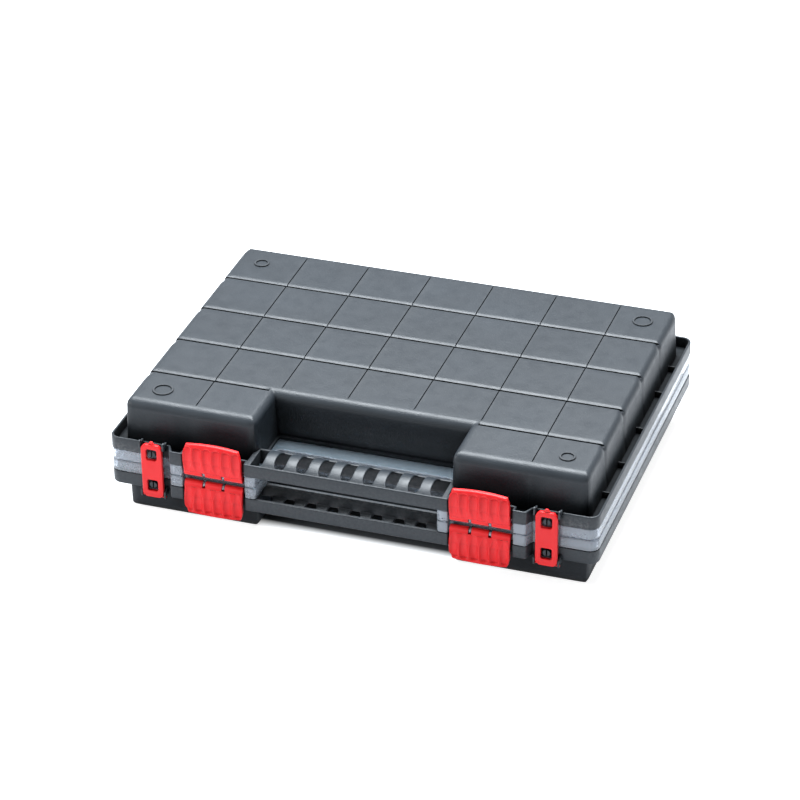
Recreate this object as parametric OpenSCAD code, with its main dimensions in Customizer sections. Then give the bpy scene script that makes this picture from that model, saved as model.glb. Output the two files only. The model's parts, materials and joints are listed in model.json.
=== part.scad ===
// Double sided organizer case: two identical trays, each under a clear lid,
// stand lid to lid. Red latches hold each lid, red clips tie the two trays.

/* [Case] */
// Width of the case over its skirts
case_w = 397; // [360:1:440]
// Middle of the case to the front face of the skirt
skirt_front = 139.8; // [136:0.2:144]
// Middle of the case to the back face of the skirt
skirt_back = 148; // [143:0.5:160]
// How far the handle and the front bosses stand in front of the skirt
boss_depth = 8; // [8:0.5:12]
// Height of one tray from its rings to the lid
tray_h = 40.5; // [36:0.5:48]
// Height of one lid with its rim
lid_h = 9.9; // [9.4:0.1:14]
// Height of the skirt band round a tray
skirt_h = 11.1; // [9:0.1:14]
// Wall of the skirt and of the flange
skirt_wall = 2; // [1.6:0.1:2.4]
// Corner radius of the skirt
skirt_corner = 8; // [4:0.5:9]

/* [Compartments] */
// Wall of the rows and of the floor
wall = 1.8; // [1.4:0.1:2.2]
// Number of rows from back to front
rows = 5; // [5:1:5]
// Distance from one row to the next
row_pitch = 54.2; // [53:0.1:55]
// Number of divider places across a full row
divider_places = 6; // [6:1:6]
// Distance from one divider place to the next
divider_pitch = 54.4; // [52:0.2:55]
// How far the divider places lie to the left of the middle
place_offset = 4.9; // [0:0.1:6]
// Middle of the case to the back face of the rows
rows_back = 135.4; // [132:0.2:138]
// Length of the front row, which is shorter than the others
front_row = 47.1; // [44:0.1:48]
// Middle of the case to the inner end of a block of the front row
block_in = 79.6; // [77:0.1:84]
// Width over the rows at the floor
body_w = 375.8; // [368:0.2:380]
// How much the outer walls lean out from the floor to the flange
draft = 1.7; // [0.5:0.1:2.5]
// Radius of the scooped front edge of a row
scoop_r = 8; // [6:0.5:10]
// Radius of the floor edge at the two ends of a row
end_r = 6; // [4:0.5:8]
// Corner radius of the body seen from above
body_corner = 8; // [5:0.5:10]
// Width of the witness line under each divider place
line_w = 0.6; // [0.4:0.1:1]
// Depth of the witness line
line_depth = 0.5; // [0.3:0.1:0.8]
// Height of the nesting rings under the floor
ring_h = 1; // [0.6:0.1:1.6]
// Outer diameter of the two large rings
ring_large = 16.4; // [15.8:0.1:20]
// Outer diameter of the two small rings
ring_small = 12.6; // [9:0.1:12.8]
// Width of a ring's edge
ring_edge = 1.5; // [1:0.1:1.7]
// Distance from the side of the body to the middle of a ring
ring_side = 23.4; // [16:0.2:26]
// Distance from the back or front of the body to the middle of a ring
ring_end = 22.5; // [18:0.5:26]

/* [Dividers] */
// Thickness of a divider
divider_t = 1.4; // [1.2:0.1:1.8]
// Clearance round a divider in its guides
divider_gap = 0.25; // [0.2:0.05:0.4]
// Width of a guide rib
guide_w = 1; // [0.8:0.1:1.4]
// How far a guide rib stands out from the wall
guide_proud = 1.2; // [0.8:0.1:1.8]
// Depth of a divider's top below the rim
divider_drop = 0.6; // [0.3:0.1:2]
// Width of the bead along a divider's top
bead_w = 2.6; // [2:0.1:3]
// Height of that bead
bead_h = 2; // [1.4:0.1:3]

/* [Handle] */
// Length of the handle between the latch pockets
handle_len = 163; // [158:0.5:164]
// Depth of the handle from front to back
handle_depth = 27; // [24:0.5:30]
// Thickness of the handle's front wall
handle_wall = 2.4; // [2:0.1:3]
// How far the grip bars bulge past the skirt
grip_bulge = 4.6; // [3:0.1:6]
// Thickness of a grip bar
grip_t = 1.8; // [1.4:0.1:2.4]
// Number of grip bars
grip_bars = 8; // [8:1:8]
// Distance from one grip bar to the next
grip_pitch = 18.05; // [17:0.05:18.6]
// Width of a grip bar
grip_bar_w = 8.8; // [7:0.1:11]

/* [Latches] */
// From the end of the handle to the pocket of a latch
latch_land = 1.4; // [1:0.1:3]
// Width of a latch at its hinge
latch_w = 48.2; // [46:0.1:48.4]
// Width of a latch at its free end
latch_end_w = 42.2; // [38:0.2:44]
// Length of a latch from its hinge edge to its free corners
latch_len = 29; // [27:0.5:30]
// How far the free end arches past its corners
latch_arch = 1.8; // [1:0.1:3.5]
// How far the face swells past the bosses
latch_swell = 3; // [2:0.1:4.5]
// Thickness of the latch shell
latch_t = 2; // [1.6:0.1:2.6]
// Radius of the hinge barrel
latch_barrel = 2.6; // [2.4:0.1:3]
// Radius of the latch's hinge pin
latch_pin = 1.2; // [1:0.1:1.4]
// Gap from the latch's hinge edge to the middle plane of the case
latch_seam = 2.1; // [1.8:0.1:3]
// Number of finger flutes on the face
flutes = 6; // [4:1:7]
// Depth of a finger flute
flute_depth = 0.9; // [0.5:0.1:1.2]
// Radius of a finger flute
flute_r = 5; // [4:0.5:8]

/* [Clips] */
// From the foot of the boss beside a latch to the clip
clip_land = 3.6; // [3:0.1:6]
// Width of a clip
clip_w = 17.4; // [15:0.2:19]
// Thickness of a clip
clip_t = 3.2; // [3:0.1:3.8]
// How far the face of a clip stands in front of the skirt
clip_reach = 6.5; // [6.2:0.1:7.5]
// Length of a clip above the middle plane, without its nub
clip_up = 22.9; // [22:0.1:25]
// Length of a clip below the middle plane
clip_down = 24.7; // [23.5:0.1:26]
// Middle plane to the middle of a clip window
window_z = 13.8; // [13:0.1:14.5]
// Width of a clip window
window_w = 8.8; // [8.2:0.1:10]
// Height of a clip window
window_h = 9.6; // [9:0.1:11]
// Height of the pulling nub on top of a clip
nub_h = 2.7; // [1.5:0.1:4]

/* [Hinges] */
// Radius of the hinge barrels and ears
hinge_r = 3.8; // [3.4:0.1:4.2]
// Radius of the hinge pins
hinge_pin = 1.9; // [1.5:0.1:2]
// Gap from the skirt to the nearest round of a barrel
hinge_gap = 0.5; // [0.4:0.1:0.8]
// Width of a hinge knuckle on a lid
knuckle_w = 24; // [18:1:30]
// Width of each hinge ear on a tray
ear_w = 4; // [3:0.5:6]
// Middle of the case to an outer hinge
hinge_x = 130; // [110:1:150]

/* [Fits] */
// Running clearance between moving pieces
gap = 0.3; // [0.2:0.05:0.4]
// Small gap between a lid and its tray
seat = 0.2; // [0.1:0.05:0.3]

/* [Hidden] */
$fn = 48;
eps = 0.01;
arc_steps = 6;

unit_h = tray_h + lid_h;
case_h = 2 * unit_h;
half_w = case_w / 2;
boss_front = skirt_front + boss_depth;
face_front = boss_front + latch_swell;
hinge_y = skirt_back + hinge_r + hinge_gap;
hinge_back = hinge_y + hinge_r;
centre_shift = (face_front - hinge_back) / 2;

skirt_z = tray_h - skirt_h;
floor_z = ring_h;
floor_in = floor_z + wall;
body_half = body_w / 2;
rows_front = rows_back - row_pitch * (rows - 1) - front_row;
front_row_back = rows_back - row_pitch * (rows - 1);
half_share = 1 / 2;
lip = 3.5;
pocket_gap = 1.2;
edge_r = 1;
boss_r = 1.5;
block_r = 2;
notch_r = 5;

pocket_half = latch_w / 2 + pocket_gap;
latch_x = handle_len / 2 + latch_land + pocket_half;
pocket_in = latch_x - pocket_half;
pocket_out = latch_x + pocket_half;
latch_pivot_y = -boss_front + latch_barrel;
pocket_y = latch_pivot_y + latch_barrel + gap;
boss_w = 10.9;
boss_out = pocket_out + boss_w;
boss_slope = 3.4;
clip_x = boss_out + boss_slope + clip_land + clip_w / 2;

handle_back = -boss_front + handle_depth;
handle_half = handle_len / 2 - handle_wall;
slot_r = 1.6;
notch_lid_half = 73;
notch_lid_back = -101.5;
lid_chamfer = 1.2;
lid_plate = 1.6;
lid_wall = 2;
lid_inset = 0.4;

latch_top = unit_h - latch_seam;
latch_pivot_z = latch_top - latch_barrel;
latch_bottom = latch_top - latch_len;
latch_taper = 8;
slit_share = 1 / 6;
swell_turn = 165;
latch_slit = latch_w * slit_share;
ear_t = 1.8;
latch_ear_r = 2.2;

peg_r = 3.2;
peg_side = 22.5;
peg_end = 16.5;
peg_x = half_w - peg_side;
peg_ys = [-skirt_front + peg_end, skirt_back - peg_end];
peg_reach = 4;
post_r = 5.4;

stud_h = 5.2;
stud_r = 3.2;
stud_slit = 1;
clip_edge = 1.2;
clip_corner = 3;
clip_r = 2;
window_r = 1.5;
clip_back = -skirt_front - clip_reach + clip_t;
clip_foot = unit_h - clip_down;
clip_pivot_y = clip_back - clip_edge;
clip_pivot_z = clip_foot + clip_edge;
clip_pin = 0.9;
clip_ear_r = 1.8;
clip_ear_t = 1.5;

rib_t = 1.2;
rib_drop = 7;
side_rib_shares = [-0.7, -0.37, 0.03, 0.46, 0.77];
back_rib_shares = [-0.52, -0.17, 0.17, 0.52];

// Dividers in use, as the row that each stands in and its place from the left
divider_seats = [[0, 1], [0, 4], [1, 2], [2, 1], [2, 4], [3, 2], [3, 3]];

// Points of an arc about a centre, from angle a0 to angle a1
function arc(c, r, a0, a1) =
    [for (i = [0 : arc_steps]) c + r * [cos(a0 + (a1 - a0) * i / arc_steps),
                                        sin(a0 + (a1 - a0) * i / arc_steps)]];

// Unit vector of v
function unit(v) = v / norm(v);

// The points that round corner b between its neighbours a and c with radius r
function rounded(a, b, c, r) =
    let (u = unit(a - b), v = unit(c - b), turn = acos(u * v) / 2,
         run = r / tan(turn), mid = b + unit(u + v) * r / sin(turn),
         from = b + u * run - mid, to = b + v * run - mid,
         start = atan2(from[1], from[0]), span = atan2(from[0] * to[1] - from[1] * to[0], from * to))
    [for (i = [0 : arc_steps]) mid + r * [cos(start + span * i / arc_steps),
                                          sin(start + span * i / arc_steps)]];

// An outline of [x, y, radius] corners with each corner rounded
function soften(p) =
    let (n = len(p))
    [for (i = [0 : n - 1])
        let (a = p[(i + n - 1) % n], b = p[i], c = p[(i + 1) % n])
        each b[2] > 0 ? rounded([a[0], a[1]], [b[0], b[1]], [c[0], c[1]], b[2]) : [[b[0], b[1]]]];

// Right half of an outline and its mirror image as one closed outline
function both_sides(half) =
    concat(half, [for (i = [len(half) - 1 : -1 : 0]) [-half[i][0], half[i][1], half[i][2]]]);

// Corners from the handle end round to the back, drawn in by d
function side_corners(d) = [
    [pocket_in - d, -boss_front + d, edge_r],
    [pocket_in - d, pocket_y + d, edge_r],
    [pocket_out + d, pocket_y + d, edge_r],
    [pocket_out + d, -boss_front + d, edge_r],
    [boss_out - d, -boss_front + d, boss_r],
    [boss_out + boss_slope - d * half_share, -skirt_front + d, edge_r],
    [half_w - d, -skirt_front + d, skirt_corner - d],
    [half_w - d, skirt_back - d, skirt_corner - d]
];

// Outline of a tray's skirt, with the handle's face in it
function skirt_outline(d) = soften(both_sides(side_corners(d)));

// Outline of a lid, which leaves the hand room behind the handle
function lid_outline(d) = soften(both_sides(concat([
    [notch_lid_half + d, notch_lid_back + d, notch_r],
    [notch_lid_half + d, -boss_front + d, block_r]], side_corners(d))));

// Outline of the rows seen from above, drawn in by d
function body_outline(d) =
    let (w = body_half + draft - d, f = rows_front - draft + d, b = rows_back + draft - d)
    soften(both_sides([
        [block_in + d, front_row_back - wall + d, block_r],
        [block_in + d, f, body_corner - d],
        [w, f, body_corner - d],
        [w, b, body_corner - d]]));

// Side profile of a row's outside as y and z, between two walls
function row_profile(back, front, lean_back, lean_front) = concat(
    [[back + lean_back, tray_h], [back, floor_z]],
    arc([front + scoop_r, floor_z + scoop_r], scoop_r, 270, 180),
    [[front - lean_front, tray_h]]);

// Side profile of a row's inside, from the floor up past the rim
function trough_profile(back, front, bottom, r) = concat(
    [[back, tray_h + wall], [back, bottom]],
    arc([front + r, bottom + r], r, 270, 180),
    [[front, tray_h + wall]]);

// Front profile of a row as x and z, with round floor edges
function end_profile(x0, x1, bottom, r, lean) = concat(
    arc([x0 + r, bottom + r], r, 180, 270),
    arc([x1 - r, bottom + r], r, 270, 360),
    [[x1 + lean, tray_h + eps], [x0 - lean, tray_h + eps]]);

function row_back(i) = rows_back - row_pitch * i;
function row_front(i) = i == rows - 1 ? rows_front : row_back(i + 1) - wall;
function row_inner_back(i) = row_back(i) - wall;
function row_inner_front(i) = row_front(i) + wall;
function place_x(k) = (k - (divider_places - 1) / 2) * divider_pitch - place_offset;

// One guide's outline across a wall line at y, with ribs standing towards side
function guide_points(x, y, side) =
    let (a = divider_t / 2 + divider_gap, b = a + guide_w, p = y + side * guide_proud)
    [[x - b, y], [x - b, p], [x - a, p], [x - a, y], [x + a, y], [x + a, p], [x + b, p], [x + b, y]];

// Divider places that lie well inside a row between x0 and x1
function places_between(x0, x1) =
    [for (k = [0 : divider_places - 1])
        if (place_x(k) > x0 + divider_pitch / 4 && place_x(k) < x1 - divider_pitch / 4) place_x(k)];

// Lays an outline of y and z along x
module along_x(x0, x1) {
    translate([x0, 0, 0]) rotate([90, 0, 90]) linear_extrude(x1 - x0) children();
}

// Lays an outline of x and z along y
module along_y(y0, y1) {
    translate([0, y1, 0]) rotate([90, 0, 0]) linear_extrude(y1 - y0) children();
}

// A plate with an outline, from z0 to z1
module slab(points, z0, z1) {
    translate([0, 0, z0]) linear_extrude(z1 - z0) polygon(points);
}

module box(x0, x1, y0, y1, z0, z1) {
    translate([x0, y0, z0]) cube([x1 - x0, y1 - y0, z1 - z0]);
}

// Outside of one row from x0 to x1
module row_outside(i, x0, x1) {
    front_lean = i == rows - 1 ? draft : 0;
    back_lean = i == 0 ? draft : 0;
    intersection() {
        along_x(x0 - draft, x1 + draft)
            polygon(row_profile(row_back(i), row_front(i), back_lean, front_lean));
        along_y(row_front(i) - draft, row_back(i) + draft)
            polygon(end_profile(x0, x1, floor_z, end_r, draft));
    }
}

// Room inside one row from x0 to x1, with its guides left standing
module row_inside(i, x0, x1) {
    b = row_inner_back(i);
    f = row_inner_front(i);
    p = places_between(x0, x1);
    back_line = [for (x = p) each guide_points(x, b, -1)];
    front_line = [for (j = [len(p) - 1 : -1 : 0])
        let (g = guide_points(p[j], f, 1)) each [for (m = [len(g) - 1 : -1 : 0]) g[m]]];
    intersection() {
        slab(concat([[x0, f], [x0, b]], back_line, [[x1, b], [x1, f]], front_line),
            floor_in, tray_h + wall);
        along_x(x0, x1) polygon(trough_profile(b, f, floor_in, scoop_r - wall));
        along_y(f, b) polygon(end_profile(x0, x1, floor_in, end_r - wall, 0));
    }
}

// Nesting ring under the floor
module ring(x, y, d) {
    translate([x, y, 0]) difference() {
        cylinder(d = d, h = floor_z + line_depth);
        translate([0, 0, -eps]) cylinder(d = d - 2 * ring_edge, h = floor_z + eps);
    }
}

module rings() {
    x = body_half - ring_side;
    y0 = rows_front + ring_end;
    y1 = rows_back - ring_end;
    ring(x, y0, ring_large);
    ring(-x, y1, ring_large);
    ring(-x, y0, ring_small);
    ring(x, y1, ring_small);
}

// The rows of the tray as one shell, before the room inside is cut
module rows_outside() {
    intersection() {
        union() {
            for (i = [0 : rows - 2]) row_outside(i, -body_half, body_half);
            row_outside(rows - 1, -body_half, -block_in);
            row_outside(rows - 1, block_in, body_half);
        }
        slab(body_outline(0), 0, tray_h);
    }
}

module rows_inside() {
    for (i = [0 : rows - 2]) row_inside(i, -body_half + wall, body_half - wall);
    row_inside(rows - 1, -body_half + wall, -block_in - wall);
    row_inside(rows - 1, block_in + wall, body_half - wall);
}

module witness_lines() {
    for (k = [0 : divider_places - 1]) {
        in_block = abs(place_x(k)) > block_in + divider_pitch / 4;
        y0 = in_block ? rows_front + scoop_r : front_row_back + scoop_r;
        box(place_x(k) - line_w / 2, place_x(k) + line_w / 2, y0, rows_back - wall,
            floor_z - eps, floor_z + line_depth);
    }
}

// Flange and skirt round the rows
module skirt() {
    difference() {
        slab(skirt_outline(0), skirt_z, tray_h);
        slab(skirt_outline(skirt_wall), skirt_z - eps, tray_h - skirt_wall);
        box(-block_in + lip, block_in - lip, handle_back - handle_wall - eps, front_row_back - wall - lip,
            skirt_z - eps, tray_h + eps);
        box(-handle_half, handle_half, -boss_front + handle_wall, handle_back - handle_wall,
            skirt_z - eps, tray_h + eps);
    }
}

// Thin ribs that brace the skirt against the rows
module skirt_ribs() {
    z0 = tray_h - rib_drop;
    z1 = tray_h - skirt_wall + eps;
    for (s = side_rib_shares)
        for (m = [0, 1])
            mirror([m, 0, 0]) box(body_half, half_w - skirt_wall / 2,
                s * rows_back - rib_t / 2, s * rows_back + rib_t / 2, z0, z1);
    for (s = back_rib_shares)
        box(s * half_w - rib_t / 2, s * half_w + rib_t / 2, rows_back, skirt_back - skirt_wall / 2, z0, z1);
}

// Middle of the circle that the grip bars follow, and its radius
grip_chord = handle_depth - handle_wall;
grip_r = (grip_chord * grip_chord / 4 + grip_bulge * grip_bulge) / (2 * grip_bulge);
grip_mid_y = -boss_front + handle_depth / 2;
grip_mid_z = skirt_z - grip_bulge + grip_r;
grip_angle = asin(grip_chord / 2 / grip_r);

module grip_slot(x0, x1) {
    y0 = -boss_front + handle_wall;
    y1 = handle_back - handle_wall;
    slab(soften([[x0, y0, slot_r], [x1, y0, slot_r], [x1, y1, slot_r], [x0, y1, slot_r]]),
        skirt_z - grip_bulge - wall, skirt_z + grip_r);
}

module handle() {
    end_x = handle_len / 2;
    first = -(grip_bars - 1) / 2 * grip_pitch;
    box(-end_x, end_x, handle_back - handle_wall, handle_back, skirt_z, tray_h);
    for (m = [-1, 1])
        box(m * (end_x + handle_half) / 2 - handle_wall / 2, m * (end_x + handle_half) / 2 + handle_wall / 2,
            -boss_front + eps, handle_back, skirt_z, tray_h);
    difference() {
        along_x(-end_x, end_x) polygon(concat(
            arc([grip_mid_y, grip_mid_z], grip_r, 270 - grip_angle, 270 + grip_angle),
            arc([grip_mid_y, grip_mid_z], grip_r - grip_t, 270 + grip_angle, 270 - grip_angle)));
        for (i = [0 : grip_bars - 2])
            grip_slot(first + i * grip_pitch + grip_bar_w / 2, first + (i + 1) * grip_pitch - grip_bar_w / 2);
        grip_slot(-handle_half, first - grip_bar_w / 2);
        grip_slot(-first + grip_bar_w / 2, handle_half);
    }
}

// Split studs that stand in the windows of the clips, one at each side
module clip_studs() {
    for (m = [-1, 1])
        difference() {
            translate([m * clip_x, -skirt_front - stud_h, unit_h - window_z]) rotate([-90, 0, 0])
                cylinder(r = stud_r, h = stud_h + skirt_wall / 2);
            box(m * clip_x - stud_slit / 2, m * clip_x + stud_slit / 2, -skirt_front - stud_h - eps, -skirt_front,
                unit_h - window_z - stud_r - eps, unit_h - window_z + stud_r + eps);
        }
}

// Ears under the skirt that carry the pins at the foot of a clip
module clip_ears() {
    for (m = [-1, 1], s = [-1, 1]) {
        x0 = m * clip_x + s * (clip_w / 2 + gap + clip_ear_t / 2) - clip_ear_t / 2;
        difference() {
            union() {
                translate([x0, clip_pivot_y, clip_pivot_z]) rotate([0, 90, 0])
                    cylinder(r = clip_ear_r, h = clip_ear_t);
                box(x0, x0 + clip_ear_t, clip_pivot_y - clip_ear_r, -skirt_front + skirt_wall / 2,
                    clip_pivot_z, skirt_z + skirt_h / 2);
            }
            translate([x0 - eps, clip_pivot_y, clip_pivot_z]) rotate([0, 90, 0])
                cylinder(r = clip_pin + gap, h = clip_ear_t + 2 * eps);
        }
    }
}

module tray_hinges() {
    for (x = [-hinge_x, 0, hinge_x]) {
        for (m = [-1, 1]) {
            x0 = x + m * (knuckle_w / 2 + gap + ear_w / 2) - ear_w / 2;
            difference() {
                union() {
                    translate([x0, hinge_y, tray_h]) rotate([0, 90, 0]) cylinder(r = hinge_r, h = ear_w);
                    box(x0, x0 + ear_w, skirt_back - skirt_wall / 2, hinge_y, tray_h - hinge_r, tray_h - seat);
                }
                box(x0 - eps, x0 + ear_w + eps, skirt_back - skirt_wall, hinge_y - hinge_r + eps, tray_h, unit_h);
            }
        }
        translate([x - knuckle_w / 2 - gap - eps, hinge_y, tray_h]) rotate([0, 90, 0])
            cylinder(r = hinge_pin, h = knuckle_w + 2 * gap + 2 * eps);
    }
}

module tray() {
    color("#33383c") difference() {
        union() {
            rows_outside();
            skirt();
            skirt_ribs();
            handle();
            rings();
            clip_studs();
            clip_ears();
            tray_hinges();
        }
        rows_inside();
        witness_lines();
    }
}

module lid_knuckle(x) {
    z = tray_h;
    difference() {
        union() {
            translate([x - knuckle_w / 2, hinge_y, z]) rotate([0, 90, 0]) cylinder(r = hinge_r, h = knuckle_w);
            box(x - knuckle_w / 2, x + knuckle_w / 2, skirt_back - lid_wall, hinge_y, z + seat, z + hinge_r);
        }
        translate([x - knuckle_w, hinge_y, z]) rotate([0, 90, 0])
            cylinder(r = hinge_pin + gap, h = 2 * knuckle_w);
    }
}

// Ears on a lid that carry the pin of a latch
module latch_ears(x) {
    for (m = [-1, 1])
        translate([x + m * latch_slit - ear_t / 2, 0, 0]) difference() {
            union() {
                translate([0, latch_pivot_y, latch_pivot_z]) rotate([0, 90, 0])
                    cylinder(r = latch_ear_r, h = ear_t);
                box(0, ear_t, latch_pivot_y, pocket_y + lid_wall,
                    latch_pivot_z - latch_ear_r, latch_pivot_z + latch_ear_r);
            }
            translate([-eps, latch_pivot_y, latch_pivot_z]) rotate([0, 90, 0])
                cylinder(r = latch_pin + gap, h = ear_t + 2 * eps);
        }
}

module lid() {
    z0 = tray_h + seat;
    color("#c9d6de", 0.55) {
        difference() {
            union() {
                slab(lid_outline(lid_inset), z0, unit_h - lid_chamfer);
                slab(lid_outline(lid_inset + lid_chamfer), z0, unit_h);
                for (x = [-hinge_x, 0, hinge_x]) lid_knuckle(x);
                for (m = [-1, 1]) latch_ears(m * latch_x);
            }
            difference() {
                slab(lid_outline(lid_inset + lid_wall), z0 + lid_plate, unit_h + eps);
                for (y = peg_ys) translate([peg_x, y, z0]) cylinder(r = post_r, h = lid_h);
                for (y = peg_ys) translate([-peg_x, y, z0]) cylinder(r = peg_r, h = lid_h);
            }
            for (y = peg_ys)
                translate([peg_x, y, unit_h - peg_reach - 2 * gap]) cylinder(r = peg_r + gap, h = lid_h);
        }
        for (y = peg_ys)
            translate([-peg_x, y, unit_h - lid_h / 2]) cylinder(r = peg_r, h = lid_h / 2 + peg_reach);
    }
}

// Face of a latch as x and z, with the free end arched and drawn in
function latch_face() = concat(
    [[latch_w / 2, latch_top], [latch_w / 2, latch_bottom + latch_taper]],
    [for (i = [0 : 2 * arc_steps])
        let (t = 1 - i / arc_steps)
        [t * latch_end_w / 2, latch_bottom - latch_arch * (1 - t * t)]],
    [[-latch_w / 2, latch_bottom + latch_taper], [-latch_w / 2, latch_top]]);

// Side profile of a latch as y and z: the swollen face, drawn in by d
function latch_side(d) =
    let (n = 2 * arc_steps, z1 = latch_pivot_z, z0 = latch_bottom - latch_arch)
    [for (i = [0 : n])
        let (t = i / n, z = z1 + (z0 - z1) * t)
        [-boss_front - latch_swell * sin(swell_turn * t) + d, z]];

module latch() {
    slot_w = ear_t + 2 * gap;
    back = pocket_y - gap;
    n = 2 * arc_steps;
    outer = latch_side(0);
    inner = latch_side(latch_t);
    color("#ee3b3c") difference() {
        union() {
            intersection() {
                along_x(-latch_w / 2, latch_w / 2) polygon(concat(outer,
                    [[back, outer[n][1]], [back, latch_pivot_z]]));
                along_y(-face_front - wall, back) polygon(latch_face());
            }
            translate([-latch_w / 2, latch_pivot_y, latch_pivot_z]) rotate([0, 90, 0])
                cylinder(r = latch_barrel, h = latch_w);
        }
        along_x(-latch_w / 2 + latch_t, latch_w / 2 - latch_t) polygon(concat(
            [for (p = inner) if (p[1] < latch_pivot_z - latch_barrel) p],
            [[back + latch_t, inner[n][1]], [back + latch_t, latch_pivot_z - latch_barrel]]));
        for (m = [-1, 1])
            box(m * latch_slit - slot_w / 2, m * latch_slit + slot_w / 2,
                -face_front - wall, back + wall,
                latch_pivot_z - latch_ear_r - gap, latch_top + eps);
        for (i = [0 : flutes - 1])
            translate([(i - (flutes - 1) / 2) * latch_end_w / flutes,
                       -face_front - flute_r + flute_depth, latch_bottom + latch_taper / 4])
                cylinder(r = flute_r, h = latch_len - latch_taper);
    }
    color("#ee3b3c") for (m = [-1, 1])
        translate([m * latch_slit - slot_w / 2 - eps, latch_pivot_y, latch_pivot_z]) rotate([0, 90, 0])
            cylinder(r = latch_pin, h = slot_w + 2 * eps);
}

// Clip as a strap with two windows, a nub on top and a round heel
module clip() {
    w = clip_w / 2;
    top = unit_h + clip_up;
    front = clip_back - clip_t;
    foot_half = w - clip_corner;
    pin_half = w + gap + clip_ear_t;
    color("#ee3b3c") difference() {
        union() {
            along_y(front, clip_back) polygon(soften([
                [w, top - clip_corner, clip_r], [foot_half, top, clip_r],
                [-foot_half, top, clip_r], [-w, top - clip_corner, clip_r],
                [-w, clip_foot + clip_corner, clip_r], [-foot_half, clip_pivot_z, 0],
                [foot_half, clip_pivot_z, 0], [w, clip_foot + clip_corner, clip_r]]));
            translate([-foot_half, clip_pivot_y, clip_pivot_z]) rotate([0, 90, 0])
                cylinder(r = clip_edge, h = 2 * foot_half);
            translate([-pin_half, clip_pivot_y, clip_pivot_z]) rotate([0, 90, 0])
                cylinder(r = clip_pin, h = 2 * pin_half);
            along_y(front + clip_edge, clip_back - clip_edge) polygon([
                [-nub_h, top - eps], [nub_h, top - eps], [nub_h / 4, top + nub_h], [-nub_h / 4, top + nub_h]]);
        }
        for (m = [-1, 1])
            along_y(front - eps, clip_back + eps) polygon(soften([
                [window_w / 2, unit_h + m * window_z - window_h / 2, window_r],
                [window_w / 2, unit_h + m * window_z + window_h / 2, window_r],
                [-window_w / 2, unit_h + m * window_z + window_h / 2, window_r],
                [-window_w / 2, unit_h + m * window_z - window_h / 2, window_r]]));
    }
}

// A divider with its foot shaped to the scooped row
module divider(seat_no) {
    i = divider_seats[seat_no][0];
    x = place_x(divider_seats[seat_no][1]);
    b = row_inner_back(i) - divider_gap;
    f = row_inner_front(i) + divider_gap;
    top = tray_h - divider_drop;
    r = scoop_r - wall;
    inner = guide_proud + divider_gap;
    color("#3a4045") {
        along_x(x - divider_t / 2, x + divider_t / 2) polygon(concat(
            [[b, top], [b, floor_in + divider_gap]],
            arc([f + r, floor_in + divider_gap + r], r, 270, 180),
            [[f, top]]));
        box(x - bead_w / 2, x + bead_w / 2, f + inner, b - inner, top - bead_h, top);
    }
}

module place_lower() {
    translate([0, centre_shift, 0]) children();
}

module place_upper() {
    translate([0, centre_shift, case_h]) rotate([0, 180, 0]) children();
}

place_lower() tray();  // lower_tray
place_upper() tray();  // upper_tray
place_lower() lid();  // lower_lid
place_upper() lid();  // upper_lid
place_lower() translate([-latch_x, 0, 0]) latch();  // lower_latch_left
place_lower() translate([latch_x, 0, 0]) latch();  // lower_latch_right
place_upper() translate([latch_x, 0, 0]) latch();  // upper_latch_left
place_upper() translate([-latch_x, 0, 0]) latch();  // upper_latch_right
place_lower() translate([-clip_x, 0, 0]) clip();  // clip_left
place_lower() translate([clip_x, 0, 0]) clip();  // clip_right
place_lower() divider(0);  // lower_divider_1
place_lower() divider(1);  // lower_divider_2
place_lower() divider(2);  // lower_divider_3
place_lower() divider(3);  // lower_divider_4
place_lower() divider(4);  // lower_divider_5
place_lower() divider(5);  // lower_divider_6
place_lower() divider(6);  // lower_divider_7
place_upper() divider(0);  // upper_divider_1
place_upper() divider(1);  // upper_divider_2
place_upper() divider(2);  // upper_divider_3
place_upper() divider(3);  // upper_divider_4
place_upper() divider(4);  // upper_divider_5
place_upper() divider(5);  // upper_divider_6
place_upper() divider(6);  // upper_divider_7
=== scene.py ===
"""Dresses the double sided organizer case: moulded trays, clear lids, red latches and clips."""

import json
import logging
import math
from dataclasses import dataclass, field
from enum import Enum

import bmesh
import bpy
import numpy as np
from mathutils import Matrix, Vector
from mathutils.geometry import delaunay_2d_cdt

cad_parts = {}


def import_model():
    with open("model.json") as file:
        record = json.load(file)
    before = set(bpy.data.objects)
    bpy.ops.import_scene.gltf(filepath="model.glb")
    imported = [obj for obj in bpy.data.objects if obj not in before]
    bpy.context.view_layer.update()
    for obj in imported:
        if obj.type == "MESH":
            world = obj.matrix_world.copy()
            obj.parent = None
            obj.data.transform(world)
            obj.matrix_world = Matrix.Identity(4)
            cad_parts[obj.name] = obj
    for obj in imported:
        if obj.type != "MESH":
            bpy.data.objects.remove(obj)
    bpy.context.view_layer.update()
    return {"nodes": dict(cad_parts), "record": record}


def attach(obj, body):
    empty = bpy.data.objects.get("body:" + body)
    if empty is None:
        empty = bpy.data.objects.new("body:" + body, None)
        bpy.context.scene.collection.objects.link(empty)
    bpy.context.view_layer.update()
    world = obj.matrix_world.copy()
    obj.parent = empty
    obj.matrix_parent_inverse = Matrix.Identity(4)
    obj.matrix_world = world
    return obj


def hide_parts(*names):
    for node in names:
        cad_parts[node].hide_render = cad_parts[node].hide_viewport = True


LOG = logging.getLogger("organizer_case")
MM = 0.001

Point = tuple[float, float]
Corner = tuple[float, float, float]
Colour = tuple[float, float, float]
Array = np.ndarray
Socket = bpy.types.NodeSocket
Tree = bpy.types.NodeTree


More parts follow.
